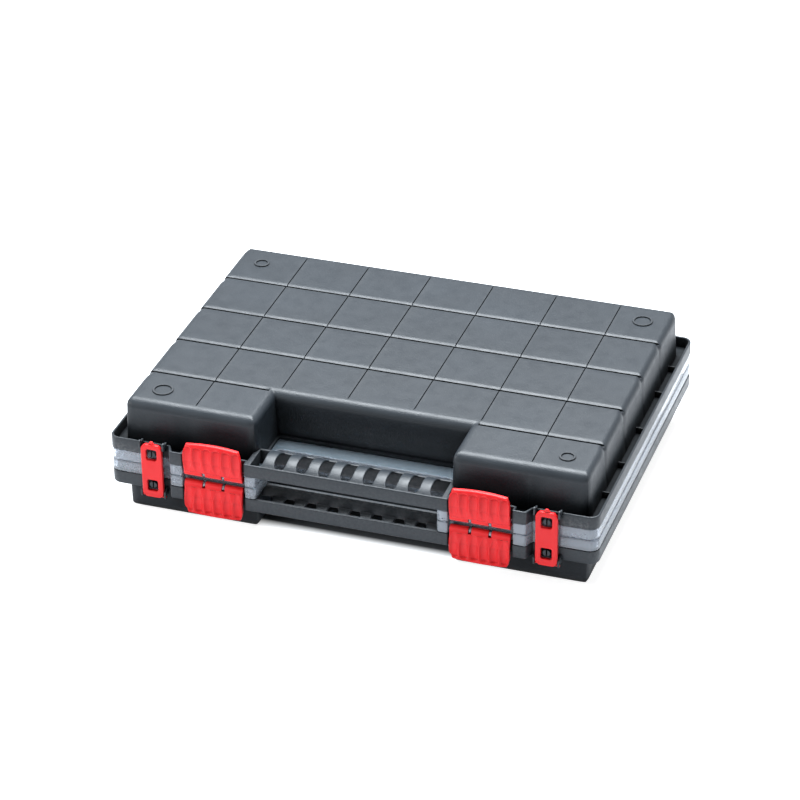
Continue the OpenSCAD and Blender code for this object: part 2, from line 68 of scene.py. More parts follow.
@dataclass(frozen=True)
class Sizes:
    """The case's own measures in millimetres, in the frame of one unit.

    A unit is a tray with its lid. It stands on its rings at z = 0 and ends at the
    middle plane of the case at z = unit_h. The upper unit is the same one turned over.
    """

    case_w: float = 397.0
    skirt_front: float = 139.8
    skirt_back: float = 148.0
    boss_depth: float = 8.0
    tray_h: float = 40.5
    lid_h: float = 9.9
    skirt_h: float = 11.1
    skirt_wall: float = 2.0
    skirt_corner: float = 8.0
    wall: float = 1.8
    rows: int = 5
    row_pitch: float = 54.2
    row_slot: float = 2.6
    row_slot_depth: float = 2.4
    rows_back: float = 135.4
    rows_front: float = -128.5
    places: int = 6
    divider_pitch: float = 54.4
    place_offset: float = 4.9
    guide_proud: float = 1.2
    line_half: float = 0.5
    line_bottom: float = 0.34
    line_depth: float = 0.9
    body_half: float = 187.9
    body_round: float = 9.0
    draft: float = 1.7
    scoop_r: float = 8.0
    end_r: float = 6.0
    floor_z: float = 1.0
    block_in: float = 79.6
    block_r: float = 7.0
    ring_large: float = 16.4
    ring_small: float = 12.6
    ring_edge: float = 1.5
    ring_side: float = 23.4
    ring_end: float = 22.5
    handle_half: float = 81.5
    handle_depth: float = 27.0
    handle_wall: float = 2.4
    grip_bulge: float = 4.6
    grip_t: float = 1.8
    grip_bars: int = 8
    grip_pitch: float = 18.05
    grip_bar_w: float = 8.8
    latch_x: float = 108.2
    latch_w: float = 48.2
    latch_end_w: float = 42.2
    latch_len: float = 28.8
    latch_arch: float = 1.4
    latch_swell: float = 2.97
    latch_t: float = 2.0
    latch_barrel: float = 2.6
    latch_pin: float = 1.2
    latch_seam: float = 2.1
    latch_slit: float = 8.03
    flutes: int = 6
    flute_depth: float = 1.7
    pocket_gap: float = 1.2
    boss_w: float = 10.9
    boss_slope: float = 3.4
    clip_x: float = 160.1
    clip_w: float = 17.4
    clip_t: float = 3.2
    clip_reach: float = 6.5
    clip_up: float = 22.9
    clip_down: float = 24.7
    clip_ear: float = 1.5
    clip_pivot: float = 1.2
    window_z: float = 13.8
    window_w: float = 8.8
    window_h: float = 9.6
    stud_r: float = 2.7
    stud_out: float = 5.2
    nub_h: float = 2.7
    notch_half: float = 73.0
    notch_back: float = -101.5
    post_side: float = 22.5
    post_end: float = 16.5
    hinge_r: float = 3.8
    hinge_pin: float = 1.9
    knuckle_w: float = 24.0
    ear_w: float = 4.0
    hinge_x: float = 130.0
    hinge_gap: float = 0.5
    gap: float = 0.3
    seat: float = 0.2
    shift_y: float = -2.65

    @property
    def unit_h(self) -> float:
        """Height of a tray with its lid."""
        return self.tray_h + self.lid_h

    @property
    def case_h(self) -> float:
        """Height of the whole case."""
        return 2 * self.unit_h

    @property
    def half_w(self) -> float:
        """Half the width of the case."""
        return self.case_w / 2

    @property
    def boss_front(self) -> float:
        """How far the bosses and the handle reach to the front."""
        return self.skirt_front + self.boss_depth

    @property
    def skirt_z(self) -> float:
        """Height of the skirt's free edge."""
        return self.tray_h - self.skirt_h

    @property
    def pocket_in(self) -> float:
        """Inner side of the pocket of a latch."""
        return self.latch_x - self.latch_w / 2 - self.pocket_gap

    @property
    def pocket_out(self) -> float:
        """Outer side of the pocket of a latch."""
        return self.latch_x + self.latch_w / 2 + self.pocket_gap

    @property
    def boss_out(self) -> float:
        """Outer side of the boss beside a latch."""
        return self.pocket_out + self.boss_w

    @property
    def handle_back(self) -> float:
        """Depth plane of the handle's back."""
        return -self.boss_front + self.handle_depth

    @property
    def latch_y(self) -> float:
        """Depth plane of a latch's axis."""
        return -self.boss_front + self.latch_barrel

    @property
    def latch_z(self) -> float:
        """Height of a latch's axis."""
        return self.unit_h - self.latch_seam - self.latch_barrel

    @property
    def clip_back(self) -> float:
        """Depth plane of a clip's back."""
        return -self.skirt_front - self.clip_reach + self.clip_t

    @property
    def pocket_y(self) -> float:
        """Depth plane of the pocket behind a latch."""
        return -self.boss_front + 2 * self.latch_barrel + self.gap

    @property
    def hinge_y(self) -> float:
        """Depth of the hinge axis."""
        return self.skirt_back + self.hinge_r + self.hinge_gap


CASE = Sizes()


class Unit(Enum):
    """Which of the two equal halves a piece belongs to."""

    LOWER = "lower"
    UPPER = "upper"


class Side(Enum):
    """Left or right hand, seen from the handles."""

    LEFT = -1
    RIGHT = 1


# --- node helpers ---


class Graph:
    """A small hand for wiring one node tree."""

    def __init__(self, tree: Tree) -> None:
        """Keeps the material's or group's tree that the nodes go into."""
        self.tree = tree

    def add(self, kind: str, **values: object) -> bpy.types.Node:
        """Adds one shader node and sets its properties and sockets.

        Args:
            kind: the node's type name without ShaderNode.
            values: a property or socket name and its value; a socket as the value is linked.

        Returns:
            The new node.
        """
        node = self.tree.nodes.new(f"ShaderNode{kind}")
        for name, value in values.items():
            self.put(node, name, value)
        return node

    def put(self, node: bpy.types.Node, name: str, value: object) -> None:
        """Sets or links one value of a node.

        Args:
            node: the node to set.
            name: a property, or a socket's name with underscores for blanks, or in_ and a number.
            value: the value, or the socket that drives it.
        """
        if name.startswith("in_"):
            target = node.inputs[int(name[3:])]
        elif hasattr(node, name):
            setattr(node, name, value)
            return
        else:
            target = node.inputs[name.replace("_", " ")]
        if isinstance(value, Socket):
            self.tree.links.new(value, target)
        else:
            target.default_value = value

    def math(self, operation: str, a: object, b: object = 0.5) -> Socket:
        """Adds a Math node for two values or sockets and returns its result."""
        return self.add("Math", operation=operation, in_0=a, in_1=b).outputs[0]

    def spread(
        self, value: object, low: object, high: object, to_low: float, to_high: float
    ) -> Socket:
        """Maps the range from low to high onto to_low to to_high, held at its ends."""
        ends = dict(in_1=low, in_2=high, in_3=to_low, in_4=to_high)
        return self.add("MapRange", clamp=True, in_0=value, **ends).outputs[0]

    def blend(self, share: object, first: object, second: object) -> Socket:
        """Mixes two colours.

        Args:
            share: how much of the second colour shows.
            first: colour at 0.
            second: colour at 1.

        Returns:
            The mixed colour's socket.
        """
        node = self.add("Mix", data_type="RGBA", clamp_factor=True)
        for name, value in (("in_0", share), ("in_6", first), ("in_7", second)):
            self.put(node, name, value)
        return node.outputs[2]

    def noise(self, scale: object, detail: float, rough: float) -> Socket:
        """Adds noise about 0.5 over the object's own coordinates."""
        at = self.add("TexCoord").outputs["Object"]
        look = dict(Scale=scale, Detail=detail, Roughness=rough)
        return self.add("TexNoise", Vector=at, **look).outputs["Fac"]

    def seen(self) -> tuple[Socket, Socket]:
        """Asks the light path.

        Returns:
            Whether the camera sees a point straight or through clear plastic, and in a gloss.
        """
        path = self.add("LightPath").outputs
        seen = self.math("MAXIMUM", path["Is Camera Ray"], path["Is Transmission Ray"])
        return seen, path["Is Glossy Ray"]


def new_material(name: str) -> tuple[bpy.types.Material, Graph]:
    """Starts a material with an empty tree.

    Args:
        name: the material's name.

    Returns:
        The material and its wiring hand.
    """
    mat = bpy.data.materials.new(name)
    mat.use_nodes = True
    mat.node_tree.nodes.clear()
    return mat, Graph(mat.node_tree)


@dataclass
class Group:
    """A shader node group while it is wired."""

    name: str
    inputs: dict[str, float]
    outputs: tuple[str, ...]

    def __post_init__(self) -> None:
        """Makes the tree with its value sockets."""
        self.tree = bpy.data.node_groups.new(self.name, "ShaderNodeTree")
        sockets, kind = self.tree.interface, "NodeSocketFloat"
        for label, value in self.inputs.items():
            sockets.new_socket(name=label, in_out="INPUT", socket_type=kind).default_value = value
        for label in self.outputs:
            sockets.new_socket(name=label, in_out="OUTPUT", socket_type=kind)
        self.graph = Graph(self.tree)
        self.given = self.tree.nodes.new("NodeGroupInput").outputs
        self.end = self.tree.nodes.new("NodeGroupOutput")

    def close(self, **values: Socket) -> Tree:
        """Links the outputs.

        Args:
            values: output name and the socket that drives it.

        Returns:
            The group's tree.
        """
        for label, value in values.items():
            self.graph.put(self.end, label, value)
        return self.tree


# --- curves and grids ---


def arc(centre: Point, radius: float, start: float, end: float, steps: int = 8) -> Array:
    """Points centre + radius * (cos a, sin a), a going from start to end degrees in even steps."""
    a = np.radians(np.linspace(start, end, steps + 1))
    return np.array(centre) + radius * np.column_stack([np.cos(a), np.sin(a)])


def fillet(corners: list[Corner], steps: int = 8) -> Array:
    """Rounds each corner (x, y, r) of a closed outline with a tangent arc of radius r.

    The arc's middle lies on the corner's bisector at r / sin(half angle), and it
    touches both sides at r / tan(half angle) from the corner.

    Args:
        corners: the corners with their radii.
        steps: chords for each arc.

    Returns:
        The rounded outline's points.
    """
    pts = np.array([c[:2] for c in corners], float)
    out = []
    for k, (_, _, r) in enumerate(corners):
        b = pts[k]
        u, v = pts[k - 1] - b, pts[(k + 1) % len(corners)] - b
        u, v = u / np.linalg.norm(u), v / np.linalg.norm(v)
        half = math.acos(float(np.clip(u @ v, -1, 1))) / 2
        mid = b + (u + v) / np.linalg.norm(u + v) * r / math.sin(half)
        a, c = b + u * r / math.tan(half) - mid, b + v * r / math.tan(half) - mid
        start = math.atan2(a[1], a[0])
        span = math.atan2(a[0] * c[1] - a[1] * c[0], float(a @ c))
        out.append(arc(tuple(mid), r, math.degrees(start), math.degrees(start + span), steps))
    return np.vstack(out)


def both_sides(half: list[Corner]) -> list[Corner]:
    """The corners of an outline's right half, going counterclockwise, and their mirror images."""
    return half + [(-x, y, r) for x, y, r in reversed(half)]


def inward(loop: Array, depth: float) -> Array:
    """Draws a closed outline in by depth along its mitred normals.

    The normal of a point is n1 + n2 over 1 + n1.n2, with n1 and n2 the left-hand
    normals of the chords before and after it, so the outline runs counterclockwise.

    Args:
        loop: the outline's points.
        depth: how far it moves in; a negative value moves it out.

    Returns:
        The moved points.
    """
    step = np.roll(loop, -1, 0) - loop
    step = step / np.maximum(np.linalg.norm(step, axis=1, keepdims=True), 1e-9)
    after = np.column_stack([-step[:, 1], step[:, 0]])
    before = np.roll(after, 1, 0)
    mitre = np.maximum(1 + (before * after).sum(1, keepdims=True), 0.2)
    return loop + depth * (before + after) / mitre


def thin(loop: Array) -> Array:
    """Leaves out points that repeat the one before them and makes the outline counterclockwise."""
    loop = loop[np.linalg.norm(loop - np.roll(loop, 1, 0), axis=1) > 1e-4]
    nxt = np.roll(loop, -1, 0)
    area = (loop[:, 0] * nxt[:, 1] - nxt[:, 0] * loop[:, 1]).sum()
    return loop if area > 0 else loop[::-1]


def border(pts: Array) -> Array:
    """The border points of a grid, counterclockwise in u and v."""
    return np.concatenate([pts[:-1, 0], pts[-1, :-1], pts[:0:-1, -1], pts[0, :0:-1]])


def along(*xs: float, y: float = 0.0, z: float = 0.0) -> list[Corner]:
    """Shifts to several places on one line along x."""
    return [(x, y, z) for x in xs]


@dataclass
class Form:
    """Surfaces of one piece, gathered as points in millimetres and faces of point numbers."""

    points: list[Array] = field(default_factory=list)
    faces: list[tuple[int, ...]] = field(default_factory=list)
    count: int = 0

    def put(self, pts: Array, faces: Array | list) -> "Form":
        """Adds points with the faces that join them.

        Args:
            pts: points, one row each.
            faces: rows of numbers into these points.

        Returns:
            The form itself.
        """
        self.points.append(np.asarray(pts, float).reshape(-1, 3))
        if isinstance(faces, Array):
            self.faces.extend(map(tuple, (faces + self.count).tolist()))
        else:
            self.faces.extend(tuple(int(i) + self.count for i in f) for f in faces)
        self.count += len(self.points[-1])
        return self

    def grid(
        self,
        pts: Array,
        wrap_u: bool = False,
        wrap_v: bool = False,
        keep: Array | None = None,
    ) -> "Form":
        """Adds a surface given as a grid of points P(u, v).

        Args:
            pts: array of u by v by 3.
            wrap_u: whether the last row joins the first.
            wrap_v: whether the last column joins the first.
            keep: which faces stay, one value each.

        Returns:
            The form itself.
        """
        nu, nv = pts.shape[:2]
        num = np.arange(nu * nv).reshape(nu, nv)
        if wrap_u:
            num = np.vstack([num, num[:1]])
        if wrap_v:
            num = np.hstack([num, num[:, :1]])
        quads = np.stack([num[:-1, :-1], num[1:, :-1], num[1:, 1:], num[:-1, 1:]], -1)
        quads = quads.reshape(-1, 4) if keep is None else quads[keep]
        return self.put(pts.reshape(-1, 3), quads)

    def rings(self, loops: list[Array], heights: list[float] | Array) -> "Form":
        """Adds a wall through outlines of equal length, each at its own height."""
        rows = [np.column_stack([p, np.full(len(p), z)]) for p, z in zip(loops, heights)]
        return self.grid(np.stack(rows), wrap_v=True)

    def skin(self, front: Array, back: Array) -> "Form":
        """Adds a closed shell between two grids of the same shape.

        Args:
            front: grid of the outer side.
            back: grid of the inner side.

        Returns:
            The form itself.
        """
        self.grid(front).grid(back[::-1])
        return self.grid(np.stack([border(front), border(back)]), wrap_v=True)

    def face(self, loops: list[Array], height: float) -> "Form":
        """Fills a flat region between an outer outline and its holes.

        Args:
            loops: the outer outline, then the holes.
            height: z of the face.

        Returns:
            The form itself.
        """
        flat = np.vstack(loops)
        edges, start = [], 0
        for loop in loops:
            edges += [(start + i, start + (i + 1) % len(loop)) for i in range(len(loop))]
            start += len(loop)
        pts, _, tris, *_ = delaunay_2d_cdt([Vector(p) for p in flat], edges, [], 0, 1e-5)
        pts, tris = np.array([tuple(p) for p in pts]), np.array(tris)
        tris = tris[self._inside(pts[tris].mean(1), loops)]
        return self.put(np.column_stack([pts, np.full(len(pts), height)]), tris)

    @staticmethod
    def _inside(p: Array, loops: list[Array]) -> Array:
        """Which points are inside an odd number of the loops, by crossings of a ray along x."""
        hits = np.zeros(len(p), int)
        for loop in loops:
            a, b = loop[None], np.roll(loop, -1, 0)[None]
            cross = (a[..., 1] > p[:, 1:]) != (b[..., 1] > p[:, 1:])
            dy = np.where(cross, b[..., 1] - a[..., 1], 1.0)
            at = a[..., 0] + (p[:, 1:] - a[..., 1]) * (b[..., 0] - a[..., 0]) / dy
            hits += (cross & (at > p[:, :1])).sum(1)
        return hits % 2 == 1

    def plate(
        self, loops: list[Array], z0: float, z1: float, edge: float = 0.4, steps: int = 3
    ) -> "Form":
        """Adds a plate with an outline and holes, its edges rounded.

        A wall point is outline + inward normal * edge * (1 - sin a) at the height
        z0 + edge * (1 - cos a), for a from 0 to 90 degrees, and the same at the top.

        Args:
            loops: the outer outline, then the holes.
            z0: lower face.
            z1: upper face.
            edge: radius of the edges.
            steps: chords for each rounded edge.

        Returns:
            The form itself.
        """
        a = np.radians(np.linspace(0, 90, steps + 1))
        depth = np.concatenate([edge * (1 - np.sin(a)), edge * (1 - np.sin(a[::-1]))])
        level = np.concatenate([z0 + edge * (1 - np.cos(a)), z1 - edge * (1 - np.cos(a[::-1]))])
        walls = []
        for k, loop in enumerate(map(thin, loops)):
            walls.append([inward(loop, d if k == 0 else -d) for d in depth])
            self.rings(walls[-1], level)
        return self.face([w[0] for w in walls], z0).face([w[-1] for w in walls], z1)

    def turn(
        self, profile: list[Point], centre: Corner = (0, 0, 0), axis: str = "z", steps: int = 32
    ) -> "Form":
        """Turns a profile of (radius, height) round an axis; a radius of 0 closes a pole.

        Args:
            profile: radius and height of each point.
            centre: where height 0 of the axis lies.
            axis: x or z.
            steps: chords of the circle.

        Returns:
            The form itself.
        """
        line = np.array(profile, float)
        a = np.radians(np.linspace(0, 360, steps, endpoint=False))
        r, h = line[:, :1], np.repeat(line[:, 1:], steps, 1)
        pts = np.stack([r * np.cos(a), r * np.sin(a), h], -1)
        order = {"z": [0, 1, 2], "x": [2, 0, 1]}[axis]
        loop = np.allclose(line[0], line[-1])
        pts = (pts[:-1] if loop else pts)[..., order] + np.array(centre)
        return self.grid(pts, wrap_u=loop, wrap_v=True)

    def laid(self, axis: str) -> "Form":
        """Turns plates drawn in x and y so that their height runs along another axis.

        Args:
            axis: y if the drawing holds x and z, x if it holds y and z.

        Returns:
            The form itself.
        """
        order = {"y": [0, 2, 1], "x": [2, 0, 1]}[axis]
        self.points = [p[:, order] for p in self.points]
        return self

    def join(self, other: "Form", *shifts: Corner) -> "Form":
        """Adds copies of another form, each moved by one shift.

        Args:
            other: the form to copy.
            shifts: the moves; none means one copy in place.

        Returns:
            The form itself.
        """
        pts = np.vstack(other.points)
        for shift in shifts or ((0, 0, 0),):
            self.put(pts + np.array(shift), other.faces)
        return self

    def twin(self) -> "Form":
        """A new form, the mirror image of this one in x with its faces turned round."""
        pts = np.vstack(self.points) * np.array([-1, 1, 1])
        return Form().put(pts, [f[::-1] for f in self.faces])


# --- finishes ---


def shade(colour: Colour, share: float = 1.0) -> tuple[float, float, float, float]:
    """A colour times a share, held below 1 and with full alpha."""
    return tuple(min(c * share, 1.0) for c in colour) + (1.0,)


def grain_group() -> Tree:
    """Moulded grain: fine noise as height, with slow changes of tone and gloss.

    Returns:
        A group that puts out Height, Tone and Gloss, each about 0.5 on average.
    """
    group = Group("moulded_grain", {"Grain": 2200.0, "Drift": 14.0}, ("Height", "Tone", "Gloss"))
    g, drift = group.graph, group.given["Drift"]
    return group.close(
        Height=g.noise(group.given["Grain"], 2.0, 0.6),
        Tone=g.noise(drift, 3.0, 0.55),
        Gloss=g.noise(g.math("MULTIPLY", drift, 7.0), 4.0, 0.6),
    )


def wear_and_light_group() -> Tree:
    """Masks for rubbed edges with a painted highlight, and for painted shade.

    Pointiness is above 0.5 on outer edges and below it in hollows. The edge mask is the
    part above a threshold, times a noise; it marks edge wear and a painted highlight. The
    crease mask is the part below 0.5, or a crease that walls within 4 mm hide; it marks
    painted shade. The deep mask is the share of the sky that walls within 30 mm hide; it
    marks painted shade in deep places.

    Returns:
        A group that puts out the edge, crease and deep masks.
    """
    group = Group("edge_rub", {"Onset": 0.52, "Reach": 0.08}, ("Rub", "Hollow", "Deep"))
    g, onset = group.graph, group.given["Onset"]
    point = g.add("NewGeometry").outputs["Pointiness"]
    edge = g.spread(point, onset, g.math("ADD", onset, group.given["Reach"]), 0.0, 1.0)
    # edge speckle, for edge wear and a painted highlight
    speckle = g.spread(g.noise(420.0, 3.0, 0.65), 0.40, 0.60, 0.1, 1.0)
    # painted shade: occlusion within 4 mm finds creases, within 30 mm deep places
    near = g.add("AmbientOcclusion", samples=6, Distance=0.004).outputs["AO"]
    far = g.add("AmbientOcclusion", samples=6, Distance=0.03).outputs["AO"]
    crease = g.spread(near, 0.45, 0.82, 1.0, 0.0)
    return group.close(
        Rub=g.math("MULTIPLY", edge, speckle),
        Hollow=g.math("MAXIMUM", crease, g.spread(point, 0.40, 0.495, 1.0, 0.0)),
        Deep=g.spread(far, 0.2, 0.78, 1.0, 0.0),
    )


@dataclass(frozen=True)
class Moulded:
    """A moulded, grained plastic with rubbed edges and duller deep places.

    The rubbed edges also carry a painted highlight; creases and deep places get painted shade.
    """

    name: str
    colour: Colour
    # colour of rubbed edges, also a painted highlight
    rubbed_edge_and_highlight: Colour
    rough: float
    grain: float
    bump: float
    specular: float = 0.5
    drift: float = 14.0
    tone: float = 0.10
    # how much painted shade, and dullness, deep places get
    deep: float = 0.9

    def make(self, groups: dict[str, Tree]) -> bpy.types.Material:
        """Builds the material.

        Args:
            groups: the shared node groups by name.

        Returns:
            The material.
        """
        mat, g = new_material(self.name)
        scales = dict(Grain=self.grain, Drift=self.drift)
        grain = g.add("Group", node_tree=groups["grain"], **scales).outputs
        wear_and_light = g.add("Group", node_tree=groups["wear_and_light"]).outputs
        rub_and_highlight, crease_shade, deep = wear_and_light["Rub"], wear_and_light["Hollow"], wear_and_light["Deep"]
        tone = g.spread(grain["Tone"], 0.35, 0.65, 0.0, 1.0)
        base = g.blend(tone, shade(self.colour, 1 - self.tone), shade(self.colour, 1 + self.tone))
        # lighter, speckled edges: edge wear with a painted highlight
        base = g.blend(g.math("MULTIPLY", rub_and_highlight, 0.6), base, shade(self.rubbed_edge_and_highlight))
        # painted shade in creases and hollows
        base = g.blend(g.math("MULTIPLY", crease_shade, 0.95), base, shade(self.colour, 0.25))
        # painted shade in deep places
        base = g.blend(g.math("MULTIPLY", deep, self.deep), base, shade(self.colour, 0.2))
        rough = g.spread(grain["Gloss"], 0.3, 0.7, self.rough - 0.05, self.rough + 0.06)
        rough = g.math("SUBTRACT", rough, g.math("MULTIPLY", rub_and_highlight, 0.08))
        rough = g.math("ADD", rough, g.math("MULTIPLY", deep, 0.35 * self.deep))
        bump = g.add("Bump", Strength=self.bump, Distance=0.0002, Height=grain["Height"]).outputs[0]
        # the gloss fades where the painted crease shade lies
        gloss = g.spread(crease_shade, 0.0, 1.0, self.specular, self.specular * 0.15)
        look = dict(Base_Color=base, Roughness=rough, IOR=1.5, Normal=bump)
        look["Specular_IOR_Level"] = gloss
        g.add("OutputMaterial", Surface=g.add("BsdfPrincipled", **look).outputs[0])
        return mat


@dataclass(frozen=True)
class Clear:
    """A clear, faintly tinted plastic with light haze, deeper in tone across its plates.

    Its edges get a painted highlight and its deep places painted shade.
    """

    name: str
    tint: Colour
    flat: Colour
    rough: float
    clarity: float

    def make(self, groups: dict[str, Tree]) -> bpy.types.Material:
        """Builds the material.

        Args:
            groups: the shared node groups by name.

        Returns:
            The material.
        """
        mat, g = new_material(self.name)
        grain = g.add("Group", node_tree=groups["grain"], Grain=700.0, Drift=9.0).outputs
        wear_and_light = g.add("Group", node_tree=groups["wear_and_light"]).outputs
        tone = g.spread(grain["Tone"], 0.35, 0.65, 0.0, 1.0)
        base = g.blend(tone, shade(self.tint, 0.9), shade(self.tint))
        facing = g.add("SeparateXYZ", Vector=g.add("TexCoord").outputs["Normal"]).outputs[2]
        plate = g.spread(g.math("ABSOLUTE", facing), 0.8, 0.97, 0.0, 1.0)
        base = g.blend(plate, base, shade(self.flat))
        # painted highlight: edges blend towards near white
        base = g.blend(g.math("MULTIPLY", wear_and_light["Rub"], 0.5), base, (0.95, 0.97, 1.0, 1.0))
        # painted shade: deep places blend towards near black
        base = g.blend(g.math("MULTIPLY", wear_and_light["Deep"], 0.3), base, (0.02, 0.024, 0.03, 1.0))
        rough = g.spread(grain["Gloss"], 0.35, 0.7, self.rough, self.rough + 0.09)
        bump = g.add("Bump", Strength=0.05, Distance=0.0001, Height=grain["Tone"]).outputs[0]
        look = dict(Base_Color=base, Roughness=rough, IOR=1.45, Normal=bump)
        look["Transmission_Weight"] = self.clarity
        g.add("OutputMaterial", Surface=g.add("BsdfPrincipled", **look).outputs[0])
        return mat


@dataclass
class Finishes:
    """All finishes of the case, each made once."""

    black: Moulded = Moulded(
        name="black_moulding", colour=(0.020, 0.026, 0.033), rubbed_edge_and_highlight=(0.105, 0.108, 0.112),
        rough=0.40, grain=1000.0, bump=0.8, specular=0.39, tone=0.07,
    )
    divider: Moulded = Moulded(
        name="divider_moulding", colour=(0.024, 0.030, 0.037), rubbed_edge_and_highlight=(0.085, 0.094, 0.105),
        rough=0.46, grain=2600.0, bump=0.3,
    )
    red: Moulded = Moulded(
        name="red_moulding", colour=(0.95, 0.016, 0.020), rubbed_edge_and_highlight=(0.9, 0.09, 0.08),
        rough=0.34, grain=3000.0, bump=0.12, specular=0.32, drift=20.0, tone=0.04, deep=0.4,
    )
    clear: Clear = Clear("clear_moulding", (0.78, 0.85, 0.95), (0.34, 0.44, 0.52), 0.07, 0.72)
    made: dict[str, bpy.types.Material] = field(default_factory=dict)

    def make(self) -> None:
        """Builds the groups and the materials, keyed by the record's slots."""
        groups = {"grain": grain_group(), "wear_and_light": wear_and_light_group()}
        self.made = {
            "black_plastic": self.black.make(groups),
            "divider_plastic": self.divider.make(groups),
            "red_plastic": self.red.make(groups),
            "clear_lid": self.clear.make(groups),
        }


# --- studio ---


def show(obj: bpy.types.Object) -> None:
    """Puts an object into the scene."""
    bpy.context.scene.collection.objects.link(obj)


@dataclass(frozen=True)
class Studio:
    """Camera, floor, world and lamps."""

    place: Corner = (0.727278, -2.134109, 1.397579)
    lens: float = 147.160
    turn: float = -0.33094
    tilt: float = 0.53581
    roll: float = -0.01227
    glow: float = 0.9
    ambient: float = 0.15

    def camera(self) -> None:
        """Sets the photograph's camera.

        Its right, down and forward axes are the rows of roll * tilt * turn.
        """
        ca, sa = math.cos(self.turn), math.sin(self.turn)
        ce, se = math.cos(self.tilt), math.sin(self.tilt)
        cr, sr = math.cos(self.roll), math.sin(self.roll)
        turn = np.array([[ca, -sa, 0], [sa, ca, 0], [0, 0, 1]])
        swap = np.array([[1, 0, 0], [0, 0, -1], [0, 1, 0]])
        tilt = np.array([[1, 0, 0], [0, ce, -se], [0, se, ce]])
        roll = np.array([[cr, -sr, 0], [sr, cr, 0], [0, 0, 1]])
        right, down, forward = roll @ tilt @ swap @ turn
        data = bpy.data.cameras.new("photo_camera")
        data.lens, data.sensor_width, data.sensor_fit = self.lens, 36.0, "HORIZONTAL"
        data.clip_start, data.clip_end = 0.05, 50.0
        cam = bpy.data.objects.new("photo_camera", data)
        axes = Matrix(np.column_stack([right, -down, -forward]).tolist()).to_4x4()
        cam.matrix_world = Matrix.Translation(self.place) @ axes
        show(cam)
        bpy.context.scene.camera = cam

    def floor(self) -> None:
        """Lays a pale floor that keeps the shadow under the case.

        It looks white to the camera, in gloss and through clear plastic. Under the case
        it has a painted shadow, a nearly black colour, and doesn't glow.
        """
        mesh = bpy.data.meshes.new("floor")
        mesh.from_pydata([(-6, -6, 0), (6, -6, 0), (6, 6, 0), (-6, 6, 0)], [], [(0, 1, 2, 3)])
        obj = bpy.data.objects.new("floor", mesh)
        show(obj)
        mat, g = new_material("pale_floor")
        seen, glossy = g.seen()
        seen = g.math("MAXIMUM", seen, g.math("MULTIPLY", glossy, 0.35))
        at = g.add("SeparateXYZ", Vector=g.add("TexCoord").outputs["Object"]).outputs
        beside = g.spread(g.math("ABSOLUTE", at[0]), 0.170, 0.182, 0.0, 1.0)
        before = g.spread(g.math("ABSOLUTE", at[1]), 0.114, 0.126, 0.0, 1.0)
        free = g.math("MAXIMUM", beside, before)
        # painted shadow: the colour is nearly black under the case
        base = g.blend(free, (0.03, 0.032, 0.035, 1.0), (0.62, 0.63, 0.65, 1.0))
        strength = g.math("MULTIPLY", g.math("MULTIPLY", seen, free), self.glow)
        matt = g.add("BsdfPrincipled", Base_Color=base, Roughness=0.9)
        glow = g.add("Emission", Color=(1.0, 1.0, 1.0, 1.0), Strength=strength)
        both = g.add("AddShader", in_0=matt.outputs[0], in_1=glow.outputs[0])
        g.add("OutputMaterial", Surface=both.outputs[0])
        mesh.materials.append(mat)

    def world(self) -> None:
        """Lights the scene softly, and is white where camera, gloss or clear plastic sees it."""
        world = bpy.data.worlds.new("studio")
        bpy.context.scene.world = world
        world.use_nodes = True
        g = Graph(world.node_tree)
        g.tree.nodes.clear()
        seen, glossy = g.seen()
        seen = g.math("MAXIMUM", seen, g.math("MULTIPLY", glossy, 0.78))
        strength = g.math("MAXIMUM", seen, self.ambient)
        back = g.add("Background", Color=(1.0, 1.0, 1.0, 1.0), Strength=strength)
        g.add("OutputWorld", Surface=back.outputs[0])

    def lamp(self, name: str, place: Corner, size: Point, power: float, colour: Colour) -> None:
        """Hangs one soft box that faces the case.

        Args:
            name: the lamp's name.
            place: its middle in metres.
            size: its width and height in metres.
            power: watts.
            colour: its light.
        """
        data = bpy.data.lights.new(name, "AREA")
        data.shape, data.size, data.size_y, data.energy = "RECTANGLE", size[0], size[1], power
        data.color = colour
        obj = bpy.data.objects.new(name, data)
        aim = Vector((0, 0, 0.05)) - Vector(place)
        facing = aim.to_track_quat("-Z", "Y").to_matrix().to_4x4()
        obj.matrix_world = Matrix.Translation(place) @ facing
        show(obj)

    def build(self) -> None:
        """Builds the whole studio."""
        bpy.context.scene.view_settings.view_transform = "Standard"
        self.camera()
        self.floor()
        self.world()
        self.lamp("top_box", (-0.2, 0.6, 1.9), (1.6, 1.2), 136.0, (0.91, 0.96, 1.0))
        self.lamp("front_box", (-1.7, -1.2, 0.9), (0.6, 0.6), 15.5, (0.98, 0.99, 1.0))


# --- pieces ---


def skirt_corners(d: float) -> list[Corner]:
    """Right half of a skirt's outline, from the handle round to the back.

    Args:
        d: how far the outline is drawn in.

    Returns:
        Corners with their radii.
    """
    c, front = CASE, -CASE.boss_front + d
    return [
        (c.pocket_in - d, front, 1.2),
        (c.pocket_in - d, c.pocket_y + d, 1.0),
        (c.pocket_out + d, c.pocket_y + d, 1.0),
        (c.pocket_out + d, front, 1.2),
        (c.boss_out - d, front, 2.0),
        (c.boss_out + c.boss_slope - d / 2, -c.skirt_front + d, 1.5),
        (c.half_w - d, -c.skirt_front + d, c.skirt_corner - d),
        (c.half_w - d, c.skirt_back - d, c.skirt_corner - d),
    ]


def skirt_loop(d: float) -> Array:
    """A tray's skirt outline drawn in by d."""
    return fillet(both_sides(skirt_corners(d)), steps=6)


